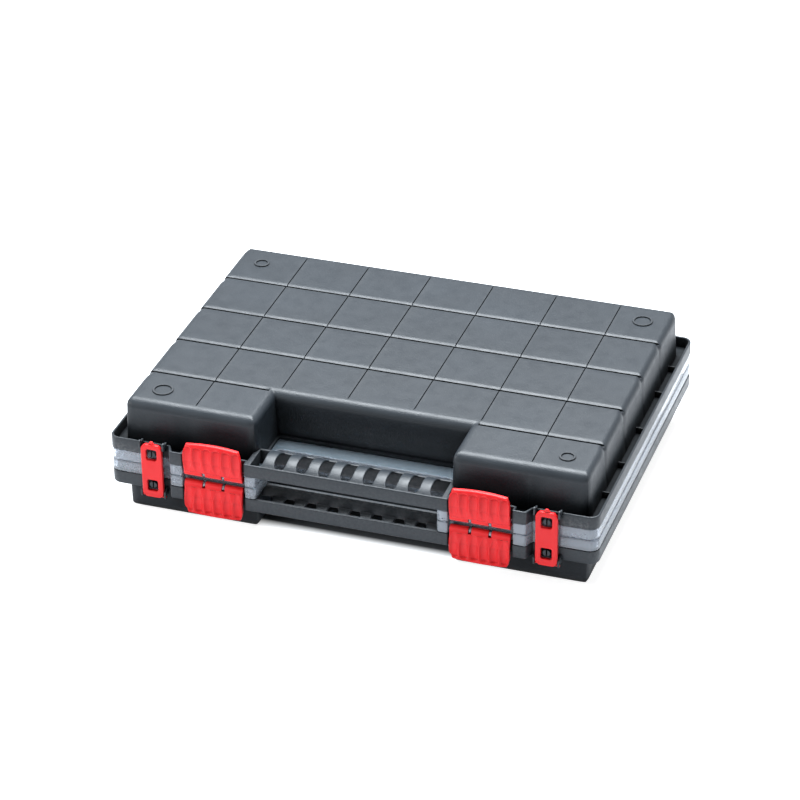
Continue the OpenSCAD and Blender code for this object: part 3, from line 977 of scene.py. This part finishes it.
def lid_loop(d: float) -> Array:
    """A lid's outline drawn in by d, which leaves the hand room behind the handle."""
    c = CASE
    notch = [(c.notch_half + d, c.notch_back + d, 5.0), (c.notch_half + d, -c.boss_front + d, 2.4)]
    return fillet(both_sides(notch + skirt_corners(d)), steps=6)


def oblong(x0: float, x1: float, y0: float, y1: float, r: float, steps: int = 4) -> Array:
    """A rectangle's outline with rounded corners, counterclockwise."""
    return fillet([(x1, y0, r), (x1, y1, r), (x0, y1, r), (x0, y0, r)], steps)


def block(xs: Point, ys: Point, zs: Point, edge: float = 0.3) -> Form:
    """A block with rounded edges between two places along each axis."""
    return Form().plate([oblong(*xs, *ys, 1.7 * edge, 3)], *zs, edge)


def rod(radius: float, run: float, y: float, z: float, steps: int) -> Form:
    """A round rod along x that reaches as far as run to both sides."""
    line = [(0, -run), (radius, -run), (radius, run), (0, run)]
    return Form().turn(line, (0, y, z), "x", steps)


def beside(places: tuple[float, ...], half: float) -> list[Corner]:
    """Shifts to both sides of each place along x."""
    return along(*[x + m * half for x in places for m in (-1, 1)])


def filled(nodes: Array, step: float) -> Array:
    """Sorts nodes and adds points between them so that none lie further apart than step."""
    nodes = np.unique(np.round(nodes, 4))
    most = np.arange(nodes.min(), nodes.max() + step, step)[1:-1]
    near = np.abs(most[:, None] - nodes[None]).min(1) > step * 0.3
    return np.sort(np.concatenate([nodes, most[near]]))


def sheet(x: Array, y: Array, z: Array) -> Array:
    """A grid of points from x, one value a row, y and z."""
    return np.stack(np.broadcast_arrays(x[:, None], np.atleast_2d(y), z), -1)


class Tray:
    """One tray as a moulding, with its handle, ribs, rings, studs and ears."""

    def __init__(self) -> None:
        """Names the levels and places that the surfaces share."""
        c = CASE
        self.ceiling = c.tray_h - c.skirt_wall
        self.inside = c.floor_z + c.wall
        self.backs = c.rows_back - c.row_pitch * np.arange(c.rows)
        self.places = (np.arange(c.places) - (c.places - 1) / 2) * c.divider_pitch - c.place_offset
        foot = c.floor_z + c.scoop_r
        self.lean = c.draft * (self.ceiling - foot) / (c.tray_h - foot)
        self.inner = c.block_in - self.lean
        self.slot_half = self.inner - 0.6

    def depth_lines(self) -> tuple[Array, Array, Array]:
        """Height of the outside along y, through the rows and in the pocket of the handle.

        Each row is flat, falls off at its back with a small radius and ends at its front
        in a quarter circle of scoop_r. The circle of one row ends at a slot before the next
        row's back, which reads as a dark line beside the light on the circle.

        Returns:
            Places along y, heights through the rows and heights in the pocket.
        """
        c, top, e = CASE, self.ceiling, 0.8
        r, z = c.scoop_r, c.floor_z
        start = 180 + math.degrees(math.acos((r - c.wall - c.row_slot) / r))
        parts = [[(c.rows_front - self.lean, top), (c.rows_front, z + r)]]
        parts.append(arc((c.rows_front + r, z + r), r, 180, 270, 10)[1:])
        for back in self.backs[::-1]:
            parts.append(arc((back - e, z + e), e, 270, 360, 4))
            if back < self.backs[0]:
                bottom = z + c.row_slot_depth
                parts.append([(back + 0.02, bottom), (back + c.row_slot - 0.1, bottom)])
                parts.append(arc((back - c.wall + r, z + r), r, start, 270, 9))
        line = np.vstack(parts + [[(c.rows_back + self.lean, top)]])
        front = self.backs[-1] - c.wall
        curve = arc((front + r, z + r), r, 180, 270, 14)
        pocket = np.vstack([[(-999.0, top), (front - 0.02, top)], curve, [(999.0, z)]])
        at = filled(np.concatenate([line[:, 0], pocket[1:-1, 0]]), 4.0)
        return at, np.interp(at, line[:, 0], line[:, 1]), np.interp(at, pocket[:, 0], pocket[:, 1])

    def width_lines(self) -> tuple[Array, Array, Array, Array]:
        """Height of the outside along x, at its ends and in the pocket, and the witness lines.

        Returns:
            Places along x, heights of the ends, heights of the pocket and groove depths.
        """
        c, top, r, q, z = CASE, self.ceiling, CASE.end_r, CASE.block_r, CASE.floor_z
        end = arc((c.body_half - r, z + r), r, 0, -90, 10)
        end = np.vstack([[(c.body_half + self.lean, top)], end])
        wall = arc((c.block_in + q, z + q), q, 180, 270, 10)
        wall = np.vstack([[(self.inner, top)], wall])
        half = np.concatenate([end[::-1, 0], wall[:, 0]])
        steps = (-c.line_half, -c.line_bottom, 0.0, c.line_bottom, c.line_half)
        cut = np.concatenate([self.places + s for s in steps])
        at = filled(np.concatenate([half, -half, cut]), 5.0)
        ends = np.interp(np.abs(at), end[::-1, 0], end[::-1, 1], left=z)
        pocket = np.interp(np.abs(at), wall[:, 0], wall[:, 1], left=top, right=z)
        off = np.abs(at[:, None] - self.places[None]).min(1)
        return at, ends, pocket, np.interp(off, [c.line_bottom, c.line_half], [c.line_depth, 0.0])

    def heights(self) -> tuple[Array, Array, Array]:
        """Height of the outside over the plan.

        It is max(ends(x), rows(y), min(pocket(x), pocket(y))), with the witness lines cut
        into the flat parts. The slot before the last row stops short of the pocket.

        Returns:
            Places along x, places along y and the heights.
        """
        c, last = CASE, self.backs[-1]
        y, rows, pocket_y = self.depth_lines()
        x, ends, pocket_x, groove = self.width_lines()
        reach, yy = np.abs(x)[:, None], y[None]
        plain = (reach < c.block_in) | ((reach < c.block_in + 6.5) & (yy > last - 0.05))
        rows = np.where(plain & (yy < last + c.scoop_r), c.floor_z, rows[None])
        pocket = np.minimum(pocket_x[:, None], pocket_y[None])
        z = np.maximum(np.maximum(ends[:, None], rows), pocket)
        wide = reach > c.block_in + c.divider_pitch / 4
        start = np.where(wide, c.rows_front, last) + c.scoop_r
        cut = groove[:, None] * ((yy > start) & (yy < c.rows_back - 1.0))
        return x, y, np.maximum(z, np.where(cut > 0, c.floor_z + cut, 0))

    @staticmethod
    def rounded(pts: Array, cx: float, cy: float, sx: int, sy: int) -> Array:
        """Rounds one corner in plan.

        The square of side r at the corner is mapped to a quarter disc: with a and b
        from 0 at its inner sides to 1 at the corner, a becomes a * sqrt(1 - b*b / 2)
        and b becomes b * sqrt(1 - a*a / 2).

        Args:
            pts: the grid of points.
            cx: the corner's place along x.
            cy: the corner's place along y.
            sx: which way along x is outside, 1 or -1.
            sy: which way along y is outside, 1 or -1.

        Returns:
            The moved grid.
        """
        r, (x, y, z) = CASE.body_round, np.moveaxis(pts, -1, 0)
        a, b = np.clip((x - cx) * sx / r + 1, 0, 1), np.clip((y - cy) * sy / r + 1, 0, 1)
        here = (a > 0) & (b > 0) & ((x - cx) * sx < 1e-3) & ((y - cy) * sy < 1e-3)
        x2 = np.where(here, cx + sx * r * (a * np.sqrt(1 - b * b / 2) - 1), x)
        y2 = np.where(here, cy + sy * r * (b * np.sqrt(1 - a * a / 2) - 1), y)
        return np.stack([x2, y2, z], -1)

    def outside(self, form: Form) -> Array:
        """Adds the outside of the rows.

        Near each slot the ends are drawn in by 1.8 * exp(-(d / 3)^2), d being the
        distance to the wall between the rows, and less further up.

        Args:
            form: takes the surface.

        Returns:
            The rim where the rows meet the flange.
        """
        c, lean = CASE, self.lean
        x, y, z = self.heights()
        pts = sheet(x, y, z)
        away = np.abs(y[:, None] - (self.backs[None, 1:] - c.wall / 2)).min(1)
        pinch = 1.8 * np.exp(-((away / 3.0) ** 2))[None] * np.clip((17.0 - z) / 13.0, 0, 1) ** 1.5
        near = np.clip((np.abs(pts[..., 0]) - c.body_half + 12) / 12, 0, 1)
        pts[..., 0] -= np.sign(pts[..., 0]) * pinch * near
        left, right = (int(np.argmin(np.abs(x - s * self.inner))) for s in (-1, 1))
        deep = int(np.argmin(np.abs(y - (self.backs[-1] - c.wall - 0.02))))
        front, back, wide = c.rows_front - lean, c.rows_back + lean, c.body_half + lean
        for s in (-1, 1):
            pts = self.rounded(pts, s * wide, front, s, -1)
            pts = self.rounded(pts, s * wide, back, s, 1)
        for s in (-1, 1):
            side = self.rounded(pts, s * self.inner, front, -s, -1)
            pts = np.where(s * pts[..., :1] >= self.inner - 1e-3, side, pts)
        keep = np.ones((len(x) - 1, len(y) - 1), bool)
        keep[left:right, :deep] = False
        form.grid(pts, keep=keep)
        rim = [pts[right:-1, 0], pts[-1, :-1], pts[:0:-1, -1], pts[0, :0:-1], pts[0:left, 0]]
        rim += [pts[left, :deep], pts[left:right, deep], pts[right, deep:0:-1]]
        return np.concatenate(rim)[:, :2]

    def room(self, form: Form, x0: float, x1: float, front: float, back: float) -> Array:
        """Adds the room inside a row with the guides for dividers on its two long walls.

        Args:
            form: takes the surface.
            x0: left wall.
            x1: right wall.
            front: front wall.
            back: back wall.

        Returns:
            The rim at the top of the tray.
        """
        c, z = CASE, self.inside
        r, q, e = c.end_r - c.wall, c.scoop_r - c.wall, 0.8
        a, b, s = 0.95, 1.95, 0.02
        here = self.places[(self.places > x0 + 13) & (self.places < x1 - 13)]
        rib = [here + m for m in (-b, -b + s, -a - s, -a, a, a + s, b - s, b)]
        ends = [arc((x0 + r, z + r), r, 180, 270, 6), arc((x1 - r, z + r), r, 270, 360, 6)]
        ends = np.vstack(ends)
        x = filled(np.concatenate([ends[:, 0]] + rib), 9.0)
        hx = np.interp(x, ends[:, 0], ends[:, 1])
        proud = np.zeros_like(x)
        if len(here):
            off = np.abs(x[:, None] - here[None]).min(1)
            proud = np.where((off > a + s / 2) & (off < b - s / 2), c.guide_proud, 0.0)
        line = [arc((front + q, z + q), q, 180, 270, 8), arc((back - e, z + e), e, 270, 360, 3)]
        line = np.vstack(line)
        y = filled(line[:, 0], 9.0)
        hy = np.interp(y, line[:, 0], line[:, 1])
        x, hx, proud, y, hy = (np.pad(v, 1, mode="edge") for v in (x, hx, proud, y, hy))
        hx[[0, -1]] = hy[[0, -1]] = c.tray_h
        yy = np.clip(y[None], front + proud[:, None], back - proud[:, None])
        pts = sheet(x, yy, np.maximum(hx[:, None], hy[None]))
        form.grid(pts)
        return border(pts)[:, :2]

    def shell(self) -> Form:
        """The closed shell of rows, rooms, flange and skirt."""
        c, form = CASE, Form()
        rim = self.outside(form)
        inner, last, hand_rim, lip = c.body_half - c.wall, self.backs[-1] - c.wall, 3.5, 0.5
        rooms = [
            self.room(form, -inner, inner, self.backs[k + 1], self.backs[k] - c.wall)
            for k in range(c.rows - 1)
        ]
        for s in (-1, 1):
            x0, x1 = sorted((s * (c.block_in + c.wall), s * inner))
            rooms.append(self.room(form, x0, x1, c.rows_front + c.wall, last))
        half = c.block_in - hand_rim
        hand = oblong(-half, half, c.handle_back, last - hand_rim, 2.0)
        front, back = -c.boss_front + c.handle_wall, c.handle_back - c.handle_wall
        slot = oblong(-self.slot_half, self.slot_half, front, back, 1.0)
        for hole in (hand, slot):
            form.rings([hole, hole], [self.ceiling, c.tray_h])
        a, b = np.radians([90, 60, 30, 0]), np.radians(np.linspace(0, 180, 9))
        depths = [*(lip * (1 - np.cos(a))), *(1.0 - np.cos(b)), c.skirt_wall]
        levels = [*(c.tray_h - lip * (1 - np.sin(a))), *(c.skirt_z + 1.0 - np.sin(b)), self.ceiling]
        form.rings([skirt_loop(d) for d in depths], levels)
        form.face([skirt_loop(lip)] + rooms + [hand, slot], c.tray_h)
        return form.face([skirt_loop(c.skirt_wall), rim, hand, slot], self.ceiling)

    def handle(self) -> Form:
        """The walls of the handle and the arched bars that the fingers hold.

        A bar is a rounded section carried along an arc of circle from the front wall
        to the back wall, and widens towards both as 1 + 0.45 * |2v - 1|^5.
        """
        c, s, low, n = CASE, 0.04, CASE.skirt_z, 21
        behind = (c.handle_back - c.handle_wall + s, c.handle_back - s)
        form = block((-c.handle_half, c.handle_half), behind, (low, c.tray_h - 0.3), 0.6)
        along_y = (-c.boss_front + 0.8, c.handle_back - 0.6)
        side = block((self.slot_half + s, c.handle_half), along_y, (low + 0.1, c.tray_h - 0.4), 0.5)
        form.join(side).join(side.twin())
        chord = c.handle_depth - c.handle_wall
        radius = (chord**2 / 4 + c.grip_bulge**2) / (2 * c.grip_bulge)
        my, mz = -c.boss_front + c.handle_depth / 2, low - c.grip_bulge + radius
        span = math.degrees(math.asin(chord / 2 / radius))
        v = np.linspace(0, 1, n)
        a = np.radians(270 - span + 2 * span * v)
        sec = oblong(-c.grip_bar_w / 2, c.grip_bar_w / 2, 0, c.grip_t, 0.8)
        wide = 1 + 0.45 * np.abs(2 * v - 1) ** 5
        r = radius - sec[:, 1:]
        pts = np.stack([sec[:, :1] * wide[None], my + r * np.cos(a), mz + r * np.sin(a)], -1)
        bar, end = Form().grid(pts, wrap_u=True), n * len(sec)
        bar.faces += [tuple(range(0, end, n)), tuple(range(n - 1, end, n))[::-1]]
        at = (np.arange(c.grip_bars) - (c.grip_bars - 1) / 2) * c.grip_pitch
        return form.join(bar, *along(*at))

    def ribs(self) -> Form:
        """Thin ribs under the flange, five at each end and four at the back."""
        c, form, t = CASE, Form(), 0.6
        zs = (c.tray_h - 7.0, self.ceiling + 0.4)
        for y in c.rows_back * np.array([-0.7, -0.37, 0.03, 0.46, 0.77]):
            rib = block((c.body_half - 1, c.half_w - 1), (y - t, y + t), zs, 0.15)
            form.join(rib, *along(0, -c.half_w - c.body_half + 2))
        for x in c.half_w * np.array([-0.52, -0.17, 0.17, 0.52]):
            form.join(block((x - t, x + t), (c.rows_back - 1, c.skirt_back - 1), zs, 0.15))
        return form

    def rings(self) -> Form:
        """The nesting rings: large and small ones on the two diagonals."""
        c, form, e, h = CASE, Form(), 0.25, 1.4
        x, y0, y1 = c.body_half - c.ring_side, c.rows_front + c.ring_end, c.rows_back - c.ring_end
        for size, s in ((c.ring_large, 1), (c.ring_small, -1)):
            r, w = size / 2, size / 2 - c.ring_edge
            line = [(w, h), (w, e), (w + e, 0), (r - e, 0), (r, e), (r, h), (w, h)]
            form.join(Form().turn(line, steps=48), (s * x, y0, 0), (-s * x, y1, 0))
        return form

    def studs(self) -> Form:
        """The split studs of the clip windows and the ears that hold the clips."""
        c, wall, t = CASE, -CASE.skirt_front + 1.0, CASE.clip_ear / 2
        half = arc((0.5, 0), c.stud_r, -90, 90, 12)
        stud = Form().plate([half], -c.skirt_front - c.stud_out, wall, 0.4).laid("y")
        stud.join(stud.twin())
        form = Form().join(stud, *along(-c.clip_x, c.clip_x, z=c.unit_h - c.window_z))
        y, z, r = c.clip_back - c.clip_pivot, c.unit_h - c.clip_down + c.clip_pivot, 1.8
        ear = fillet([
            (wall, z, 0.4), (wall, c.skirt_z + 5.5, 0.4), (y - r, c.skirt_z + 2, 1.0),
            (y - r, z - r, r - 0.1), (y + r, z - r, r - 0.1), (y + r, z + 0.5, 0.4),
        ], steps=5)
        ear = Form().plate([ear, arc((y, z), 1.2, 0, 345, 23)], -t, t, 0.2).laid("x")
        return form.join(ear, *beside((-c.clip_x, c.clip_x), c.clip_w / 2 + c.gap + t))

    def hinges(self) -> Form:
        """The hinge ears, each a round eye with its foot in the skirt, and the pins."""
        c, places = CASE, (-CASE.hinge_x, 0, CASE.hinge_x)
        y, z, r, wall = c.hinge_y, c.tray_h, c.hinge_r, c.skirt_back - 1.0
        eye = arc((y, z), r - 0.02, -90, 180, 27)
        foot = [(y - r + 0.03, z - c.seat), (wall, z - c.seat), (wall, z - r)]
        ear = Form().plate([np.vstack([eye, foot])], -c.ear_w / 2, c.ear_w / 2, 0.4).laid("x")
        pin = rod(c.hinge_pin, c.knuckle_w / 2 + c.gap + 1.0, y, z, 24)
        form = Form().join(ear, *beside(places, c.knuckle_w / 2 + c.gap + c.ear_w / 2))
        return form.join(pin, *along(*places))

    def form(self) -> Form:
        """The whole tray."""
        trims = (self.handle(), self.ribs(), self.rings(), self.studs(), self.hinges())
        form = self.shell()
        for trim in trims:
            form.join(trim)
        return form


class Lid:
    """One clear lid: a shallow pan with knuckles at its back and ears for the latches."""

    def form(self) -> Form:
        """The whole lid.

        The pan's wall is the lid's outline carried through a profile of depth and height.
        """
        c, form = CASE, Form()
        z0, z1, i = c.tray_h + c.seat, c.unit_h - 0.1, 0.4
        path = [
            (0.3, z0), (0.0, z0 + 0.3), (0.0, z1 - 1.2), (0.3, z1 - 0.5), (1.0, z1),
            (1.8, z1), (2.0, z1 - 0.2), (2.0, z0 + 1.9), (2.3, z0 + 1.6),
        ]
        loops = [lid_loop(i + d) for d, _ in path]
        form.rings(loops, [z for _, z in path])
        form.face([loops[0]], z0).face([loops[-1]], z0 + 1.6)
        peg = [(0, -4.0), (2.9, -4.0), (3.2, -3.7), (3.2, 3.5), (2.7, 4.0), (0, 4.0)]
        rim, tall = z0 + 1.5, z1 - 0.2
        post = [(3.5, rim), (3.5, tall), (5.2, tall), (5.4, tall - 0.2), (5.4, rim), (3.5, rim)]
        peg, post = Form().turn(peg, steps=24), Form().turn(post, steps=28)
        x = c.half_w - c.post_side
        for y in (-c.skirt_front + c.post_end, c.skirt_back - c.post_end):
            form.join(post, (x, y, 0)).join(peg, (-x, y, c.unit_h))
        form.join(self.knuckle(), *along(-c.hinge_x, 0, c.hinge_x))
        return form.join(self.ear(), *beside((-c.latch_x, c.latch_x), c.latch_slit))

    @staticmethod
    def knuckle() -> Form:
        """One knuckle, bored for the pin, with its foot in the back of the lid."""
        c, y, z, r = CASE, CASE.hinge_y, CASE.tray_h, CASE.hinge_r
        wall, low = c.skirt_back - 1.4, z + c.seat + 0.2
        foot = [(wall, z + r), (wall, low), (y - r + 0.05, low)]
        eye = arc((y, z), r - 0.02, 180, 450, 27)
        bore = arc((y, z), c.hinge_pin + c.gap, 0, 345, 23)
        half = c.knuckle_w / 2
        return Form().plate([np.vstack([eye, foot]), bore], -half, half, 0.4).laid("x")

    @staticmethod
    def ear() -> Form:
        """One ear for the pin of a latch."""
        c, y, z, r = CASE, CASE.latch_y, CASE.latch_z, 2.2
        foot = [(c.pocket_y + 1.4, z - r), (c.pocket_y + 1.4, z + r)]
        eye = np.vstack([arc((y, z), r, 90, 270, 14), foot])
        bore = arc((y, z), c.latch_pin + c.gap, 0, 340, 17)
        return Form().plate([eye, bore], -0.9, 0.9, 0.25).laid("x")


class Latch:
    """A red latch: a swollen cover with six flutes, on a barrel in three parts."""

    def __init__(self) -> None:
        """Names the heights that the surfaces share."""
        self.end = CASE.latch_z + CASE.latch_barrel - CASE.latch_len
        self.low = self.end - CASE.latch_arch

    def bulge(self, z: Array) -> Array:
        """How far the cover stands out at a height.

        It is swell * sin(165 degrees * t), with t from the pivot to the free end.
        """
        t = np.clip((CASE.latch_z - z) / (CASE.latch_z - self.low), 0, 1)
        return CASE.latch_swell * np.sin(np.radians(165) * t)

    def half(self, z: Array) -> Array:
        """Half the width at a height: full above the taper, then drawn in along a cosine."""
        c, taper = CASE, 9.0
        t = np.clip((self.end + taper - z) / (taper + c.latch_arch), 0, 1)
        drawn = (c.latch_w - c.latch_end_w) / 2 * (1 - np.cos(t * math.pi / 2)) ** 0.9
        return c.latch_w / 2 - drawn

    def cover(self, deep: float) -> Array:
        """One side of the cover as a grid of s across and t down.

        x = s * half(z), with z running from the neck to an arched free end. The face lies at
        the swell plus r - sqrt(r*r - a*a - b*b), where a and b are how far a point is within
        r of the sides and of the free end, so that all edges are rounded. Each flute is a
        trough d * sqrt(1 - q*q) * fade, q being the distance to its middle over its half width.

        Args:
            deep: thickness below the face; 0 gives the outer side.

        Returns:
            The grid of points.
        """
        c, r, across, tall = CASE, 1.3, 24.0, 27.0
        top = c.latch_z - 2.0
        rim = np.array([0, 0.02, 0.12, 0.35, 0.7, r]) / across
        mid = np.linspace(rim[-1], 2 - rim[-1], 97)[1:-1]
        s = np.concatenate([[0], rim, mid, 2 - rim[::-1], [2]]) - 1
        foot_rim = 1 - rim[-2::-1] * across / tall
        t = np.concatenate([[0.0], np.linspace(0, 1 - r / tall, 36), foot_rim, [1.0]])
        foot = self.end - c.latch_arch * (1 - s[:, None] ** 2)
        z = top + (foot - top) * t[None]
        half = self.half(z)
        x = s[:, None] * half
        a = np.clip(r - (half - np.abs(x)), 0, r)
        b = np.clip(r - (z - foot), 0, r)
        edge = r - np.sqrt(np.maximum(r * r - a * a - b * b, 0))
        face = -c.boss_front - self.bulge(z)
        y = face + edge + deep
        if deep:
            x = x * (1 - deep / half)
            z = np.minimum(np.maximum(z, foot + deep), top)
            face = -c.boss_front - self.bulge(z)
        else:
            at = (np.arange(c.flutes) - (c.flutes - 1) / 2) * c.latch_w / c.flutes
            q = np.abs(x[..., None] - at).min(-1)
            fade = np.clip((z - self.end - 0.8) / 2.0, 0, 1)
            fade *= np.clip((self.end + 24.0 - z) / 9.0, 0, 1)
            y += c.flute_depth * np.sqrt(np.maximum(1 - (q / (1.4 + 2.0 * fade)) ** 2, 0)) * fade
        y[[0, -1]] = face[[0, -1]] + 3.0
        y[:, -1] = face[:, -1] + 3.0
        return np.stack([x, y, z], -1)

    def form(self) -> Form:
        """The whole latch."""
        c, form, drop, gap = CASE, Form(), 2.8, 1.2
        form.skin(self.cover(0.0), self.cover(c.latch_t))
        y, z = c.latch_y, c.latch_z
        down = np.linspace(z - drop, z, 6)
        nose = np.column_stack([-c.boss_front - self.bulge(down), down])
        barrel = arc((y, z), c.latch_barrel, 180, -90, 30)
        hook = np.vstack([nose[:-1], barrel, [(y - 0.6, z - drop)]])
        outer, inner = c.latch_w / 2, c.latch_slit
        for x0, x1 in ((-outer, -inner - gap), (-inner + gap, inner - gap), (inner + gap, outer)):
            form.join(Form().plate([hook[::-1]], x0, x1, 0.35).laid("x"))
        return form.join(rod(c.latch_pin, inner + 2, y, z, 20))


class Clip:
    """A red clip: a strap with two windows, a nub on top and stub pins."""

    def form(self) -> Form:
        """The whole clip, drawn in x and z and laid along y."""
        c = CASE
        w, top, foot = c.clip_w / 2, c.unit_h + c.clip_up, c.unit_h - c.clip_down
        half = [(w - 3.0, foot + 0.1, 0.8), (w, foot + 3.0, 2.0)]
        half += [(w, top - 3.0, 3.2), (w - 3.0, top, 3.2)]
        hw, hh, front = c.window_w / 2, c.window_h / 2, c.clip_back - c.clip_t
        middles = (c.unit_h - c.window_z, c.unit_h + c.window_z)
        windows = [oblong(-hw, hw, m - hh, m + hh, 1.5) for m in middles]
        strap = fillet(both_sides(half), steps=6)
        form = Form().plate([strap] + windows, front, c.clip_back, 0.7, 4).laid("y")
        nub = [(c.nub_h + 0.6, top - 0.6, 0.6), (0.9, top + c.nub_h, 0.8)]
        nub = fillet(both_sides(nub), steps=4)
        form.join(Form().plate([nub], front + 0.9, c.clip_back - 0.9, 0.3).laid("y"))
        run, y, z = w + c.gap + c.clip_ear, c.clip_back - c.clip_pivot, foot + c.clip_pivot
        pin = [(0, -run), (0.7, -run), (0.9, -run + 0.2), (0.9, run - 0.2), (0.7, run), (0, run)]
        return form.join(Form().turn(pin, (0, y, z), "x", 20))


@dataclass
class Maker:
    """Turns forms into pieces that ride on the bodies of the frame."""

    finishes: Finishes

    def make(self, form: Form, name: str, body: str, slot: str, unit: Unit, x: float = 0.0) -> None:
        """Builds one piece in metres in the row frame.

        The upper unit is the lower one turned half round about y: (x, y, z) becomes
        (-x, y, case_h - z).

        Args:
            form: the piece in the frame of one unit.
            name: the CAD node that it stands for.
            body: the body that it rides on.
            slot: the record's material slot.
            unit: which half it belongs to.
            x: how far it is moved to the right in the row frame.
        """
        pts = np.vstack(form.points)
        if unit is Unit.UPPER:
            pts = pts * np.array([-1, 1, -1]) + np.array([0, 0, CASE.case_h])
        pts = (pts + np.array([x, CASE.shift_y, 0])) * MM
        mesh = bpy.data.meshes.new(name)
        mesh.from_pydata(pts.tolist(), [], [tuple(map(int, f)) for f in form.faces])
        bm = bmesh.new()
        bm.from_mesh(mesh)
        bmesh.ops.remove_doubles(bm, verts=bm.verts, dist=2e-6)
        bmesh.ops.dissolve_degenerate(bm, edges=bm.edges, dist=1e-6)
        bmesh.ops.recalc_face_normals(bm, faces=bm.faces)
        bm.to_mesh(mesh)
        bm.free()
        mesh.polygons.foreach_set("use_smooth", np.ones(len(mesh.polygons), bool))
        mesh.set_sharp_from_angle(angle=math.radians(32))
        mesh.materials.append(self.finishes.made[slot])
        obj = bpy.data.objects.new(f"{name}_dressed", mesh)
        show(obj)
        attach(obj, body)
        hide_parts(name)
        LOG.info("%s: %d faces", obj.name, len(mesh.polygons))


def main() -> None:
    """Loads the frame and dresses every piece."""
    logging.basicConfig(level=logging.INFO, format="%(message)s")
    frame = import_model()
    finishes = Finishes()
    finishes.make()
    Studio().build()
    slots = {part["node"]: part["material_slot"] for part in frame["record"]["subparts"]}
    for name, obj in frame["nodes"].items():
        obj.data.materials.clear()
        obj.data.materials.append(finishes.made[slots[name]])
    maker = Maker(finishes)
    tray, lid, latch, clip = Tray().form(), Lid().form(), Latch().form(), Clip().form()
    for unit in Unit:
        maker.make(tray, f"{unit.value}_tray", f"{unit.value}_case", "black_plastic", unit)
        maker.make(lid, f"{unit.value}_lid", "lid_pair", "clear_lid", unit)
        for side in Side:
            name = f"{unit.value}_latch_{side.name.lower()}"
            maker.make(latch, name, name, "red_plastic", unit, side.value * CASE.latch_x)
    for side in Side:
        name = f"clip_{side.name.lower()}"
        maker.make(clip, name, name, "red_plastic", Unit.LOWER, side.value * CASE.clip_x)


if __name__ == "__main__":
    main()
